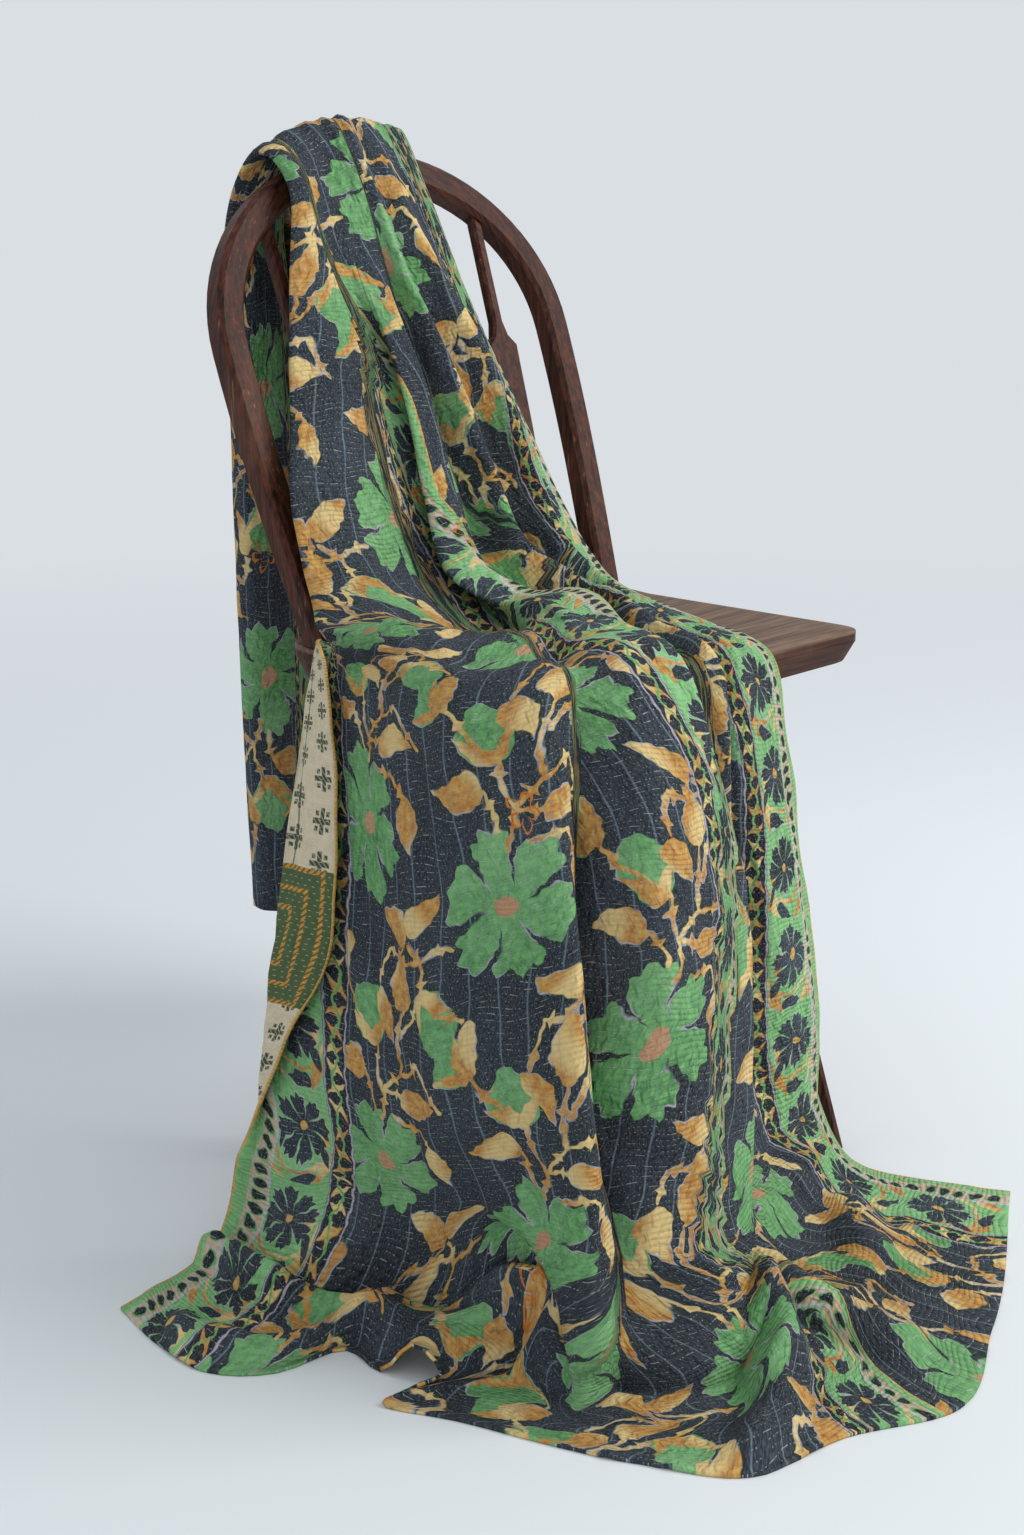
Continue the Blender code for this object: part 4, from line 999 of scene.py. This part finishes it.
def made(shape, name, *materials):
    """The shape as a mesh object with its materials."""
    mesh = bpy.data.meshes.new(name)
    shape.to_mesh(mesh)
    shape.free()
    for material in materials:
        mesh.materials.append(material)
    piece = bpy.data.objects.new(name, mesh)
    bpy.context.collection.objects.link(piece)
    return piece


# ---------------------------------------------------------------- the chair's wood
UPRIGHT_TONES = (tone(32, 16, 11), tone(92, 48, 34), tone(164, 124, 94))    # dark, light, worn
SEAT_TONES = (tone(84, 64, 52), tone(130, 106, 88), tone(158, 136, 116))
# painted shade for the plank's sides and underside, in a darker and a paler tone
PLANK_SHADE, PLANK_SHADE_PALE = tone(40, 22, 17), tone(84, 52, 40)
EDGE_DEPTH = 0.0035       # how far below the plank's top its edges begin


def wood(name, dark, light, worn, arched, roughness=0.5):
    """Old hardwood with a dark stain, its grain along the piece: round the arch and along the
    uprights, or across the plank, whose sides and underside get painted shade."""
    paint = Paint(name, light[:3], roughness, 0.2)
    coords = paint.node("ShaderNodeTexCoord", output=3)
    x, y, z = paint.parts(coords)
    if arched:
        x, rise = abs(x - CHAIR_FOOT.x), paint.most(z - ARCH_FROM, 0.0)
        along = paint.math("ARCTAN2", rise, x) * ARCH_RADIUS + paint.math("MINIMUM", z, ARCH_FROM)
        aside = paint.reach(x, rise)
    else:
        along, aside = x, z

    def fibres(pace, fineness, detail, rough):
        place = paint.vector(along * pace, aside * fineness, y * fineness)
        return paint.noise(place, 1.0, detail, rough)

    grain = fibres(9.0, 260.0, 3.0, 0.65)
    pores = fibres(40.0, 900.0, 1.0, 0.5)
    scratch = fibres(14.0, 420.0, 1.0, 0.4)
    patches = paint.noise(coords, 11.0, 4.0, 0.65)
    colour = paint.mix(paint.ramp(grain, 3.4, -1.2), dark, light)
    colour = paint.mix(paint.ramp(pores, 4.0, -2.0) * 0.6, colour, dark)
    rubbed = paint.ramp(patches, 5.0, -2.7)
    colour = paint.mix(rubbed * 0.14, colour, worn)
    if not arched:
        # painted shade: the plank's sides and underside are painted darker than its top, less where
        # it is rubbed
        side = paint.inside(z - (SEAT_TOP - EDGE_DEPTH), 0.0015)
        shaded_sides = paint.mix(paint.ramp(grain, 3.0, -1.0), PLANK_SHADE, PLANK_SHADE_PALE)
        colour = paint.mix(side * (1.0 - rubbed * 0.4), colour, shaded_sides)
    nicks = paint.ramp(scratch, 9.0, -6.1) * paint.ramp(patches, 3.0, -1.2)
    colour = paint.mix(nicks * 0.8, colour, worn)
    paint.colour(colour)
    paint.roughness(paint.math("MULTIPLY_ADD", grain, 0.25, roughness - 0.1))
    paint.relief(grain * 0.7 + pores * 0.3, 0.0008, 0.6)
    return paint.material


def chair():
    """Dark wood on the hoop, spindles and legs, and a plank worn lighter, whose sides and underside
    get painted shade.
    """
    upright = wood("dark_wood", *UPRIGHT_TONES, True)
    seat_wood = wood("seat_wood", *SEAT_TONES, False, 0.6)
    for name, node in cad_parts.items():
        if name == "quilt":
            continue
        node.data.materials.clear()
        node.data.materials.append(seat_wood if name == "seat" else upright)


# ---------------------------------------------------------------- camera, floor and light
WALL = tone(222, 227, 232)
WALL_LIGHT = 0.96
FLOOR_RADIUS = 30.0
LAMP_COLOUR = (1.0, 0.985, 0.96)
LAMP_AIM = Vector((-0.1, -0.15, 0.35))    # from the chair's own foot point
LIGHTS = [  # name, metres right of the chair, towards the eye, up, side of its square, power
    ("window", 2.2, 0.4, 2.0, 1.7, 50.0),
]


def level(turn):
    """The level directions ahead of a view turned this far, and to its right."""
    a = math.radians(turn)
    return Vector((-math.sin(a), math.cos(a), 0.0)), Vector((math.cos(a), math.sin(a), 0.0))


def camera():
    """The view from in front of the chair's near side."""
    flat, right = level(EYE_TURN)
    down = math.radians(EYE_DOWN)
    ahead = flat * math.cos(down) - Vector((0, 0, math.sin(down)))
    up = right.cross(ahead)
    lens = bpy.data.cameras.new("view")
    lens.sensor_fit, lens.sensor_width, lens.lens = "AUTO", SENSOR, LENS
    eye = bpy.data.objects.new("view", lens)
    bpy.context.collection.objects.link(eye)
    turn = Matrix((right, up, -ahead)).transposed().to_4x4()
    eye.matrix_world = Matrix.Translation(CHAIR_FOOT + EYE) @ turn
    bpy.context.scene.camera = eye


def floor():
    """A pale floor that turns into the wall's own light between 1.1 and 2.9 m out."""
    paint = Paint("studio_floor", (0.74, 0.77, 0.79), 0.8, 0.2)
    x, y, _ = paint.parts(paint.node("ShaderNodeTexCoord", output=3))
    fade = paint.ramp(paint.reach(x, y), 0.55, -0.62)
    lit = Value(paint, paint.shader.outputs[0])
    glow = paint.node("ShaderNodeEmission", {"Color": WALL, "Strength": WALL_LIGHT})
    blend = paint.node("ShaderNodeMixShader", {0: fade, 1: lit, 2: glow})
    paint.feed(paint.tree.nodes["Material Output"].inputs["Surface"], blend)
    paint.material.cycles.emission_sampling = "NONE"
    ground = bmesh.new()
    bmesh.ops.create_circle(ground, cap_ends=True, segments=96, radius=FLOOR_RADIUS)
    piece = made(ground, "studio_floor", paint.material)


def light():
    """The room's even light and one lamp like a large window."""
    world = bpy.data.worlds.new("studio")
    world.use_nodes = True
    bpy.context.scene.world = world
    back = world.node_tree.nodes["Background"]
    back.inputs["Color"].default_value = WALL
    back.inputs["Strength"].default_value = WALL_LIGHT
    ahead, right = level(EYE_TURN)
    for name, aside, before, height, size, power in LIGHTS:
        lamp = bpy.data.lights.new(name, "AREA")
        lamp.shape, lamp.size, lamp.size_y, lamp.energy = "RECTANGLE", size, size, power
        lamp.color = LAMP_COLOUR
        box = bpy.data.objects.new(name, lamp)
        bpy.context.collection.objects.link(box)
        spot = CHAIR_FOOT + right * aside - ahead * before + Vector((0, 0, height))
        aim = CHAIR_FOOT + LAMP_AIM - spot
        turn = aim.to_track_quat("-Z", "Y").to_matrix().to_4x4()
        box.matrix_world = Matrix.Translation(spot) @ turn


camera()
floor()
light()
chair()
quilt()
bpy.context.scene.view_settings.view_transform = "Standard"
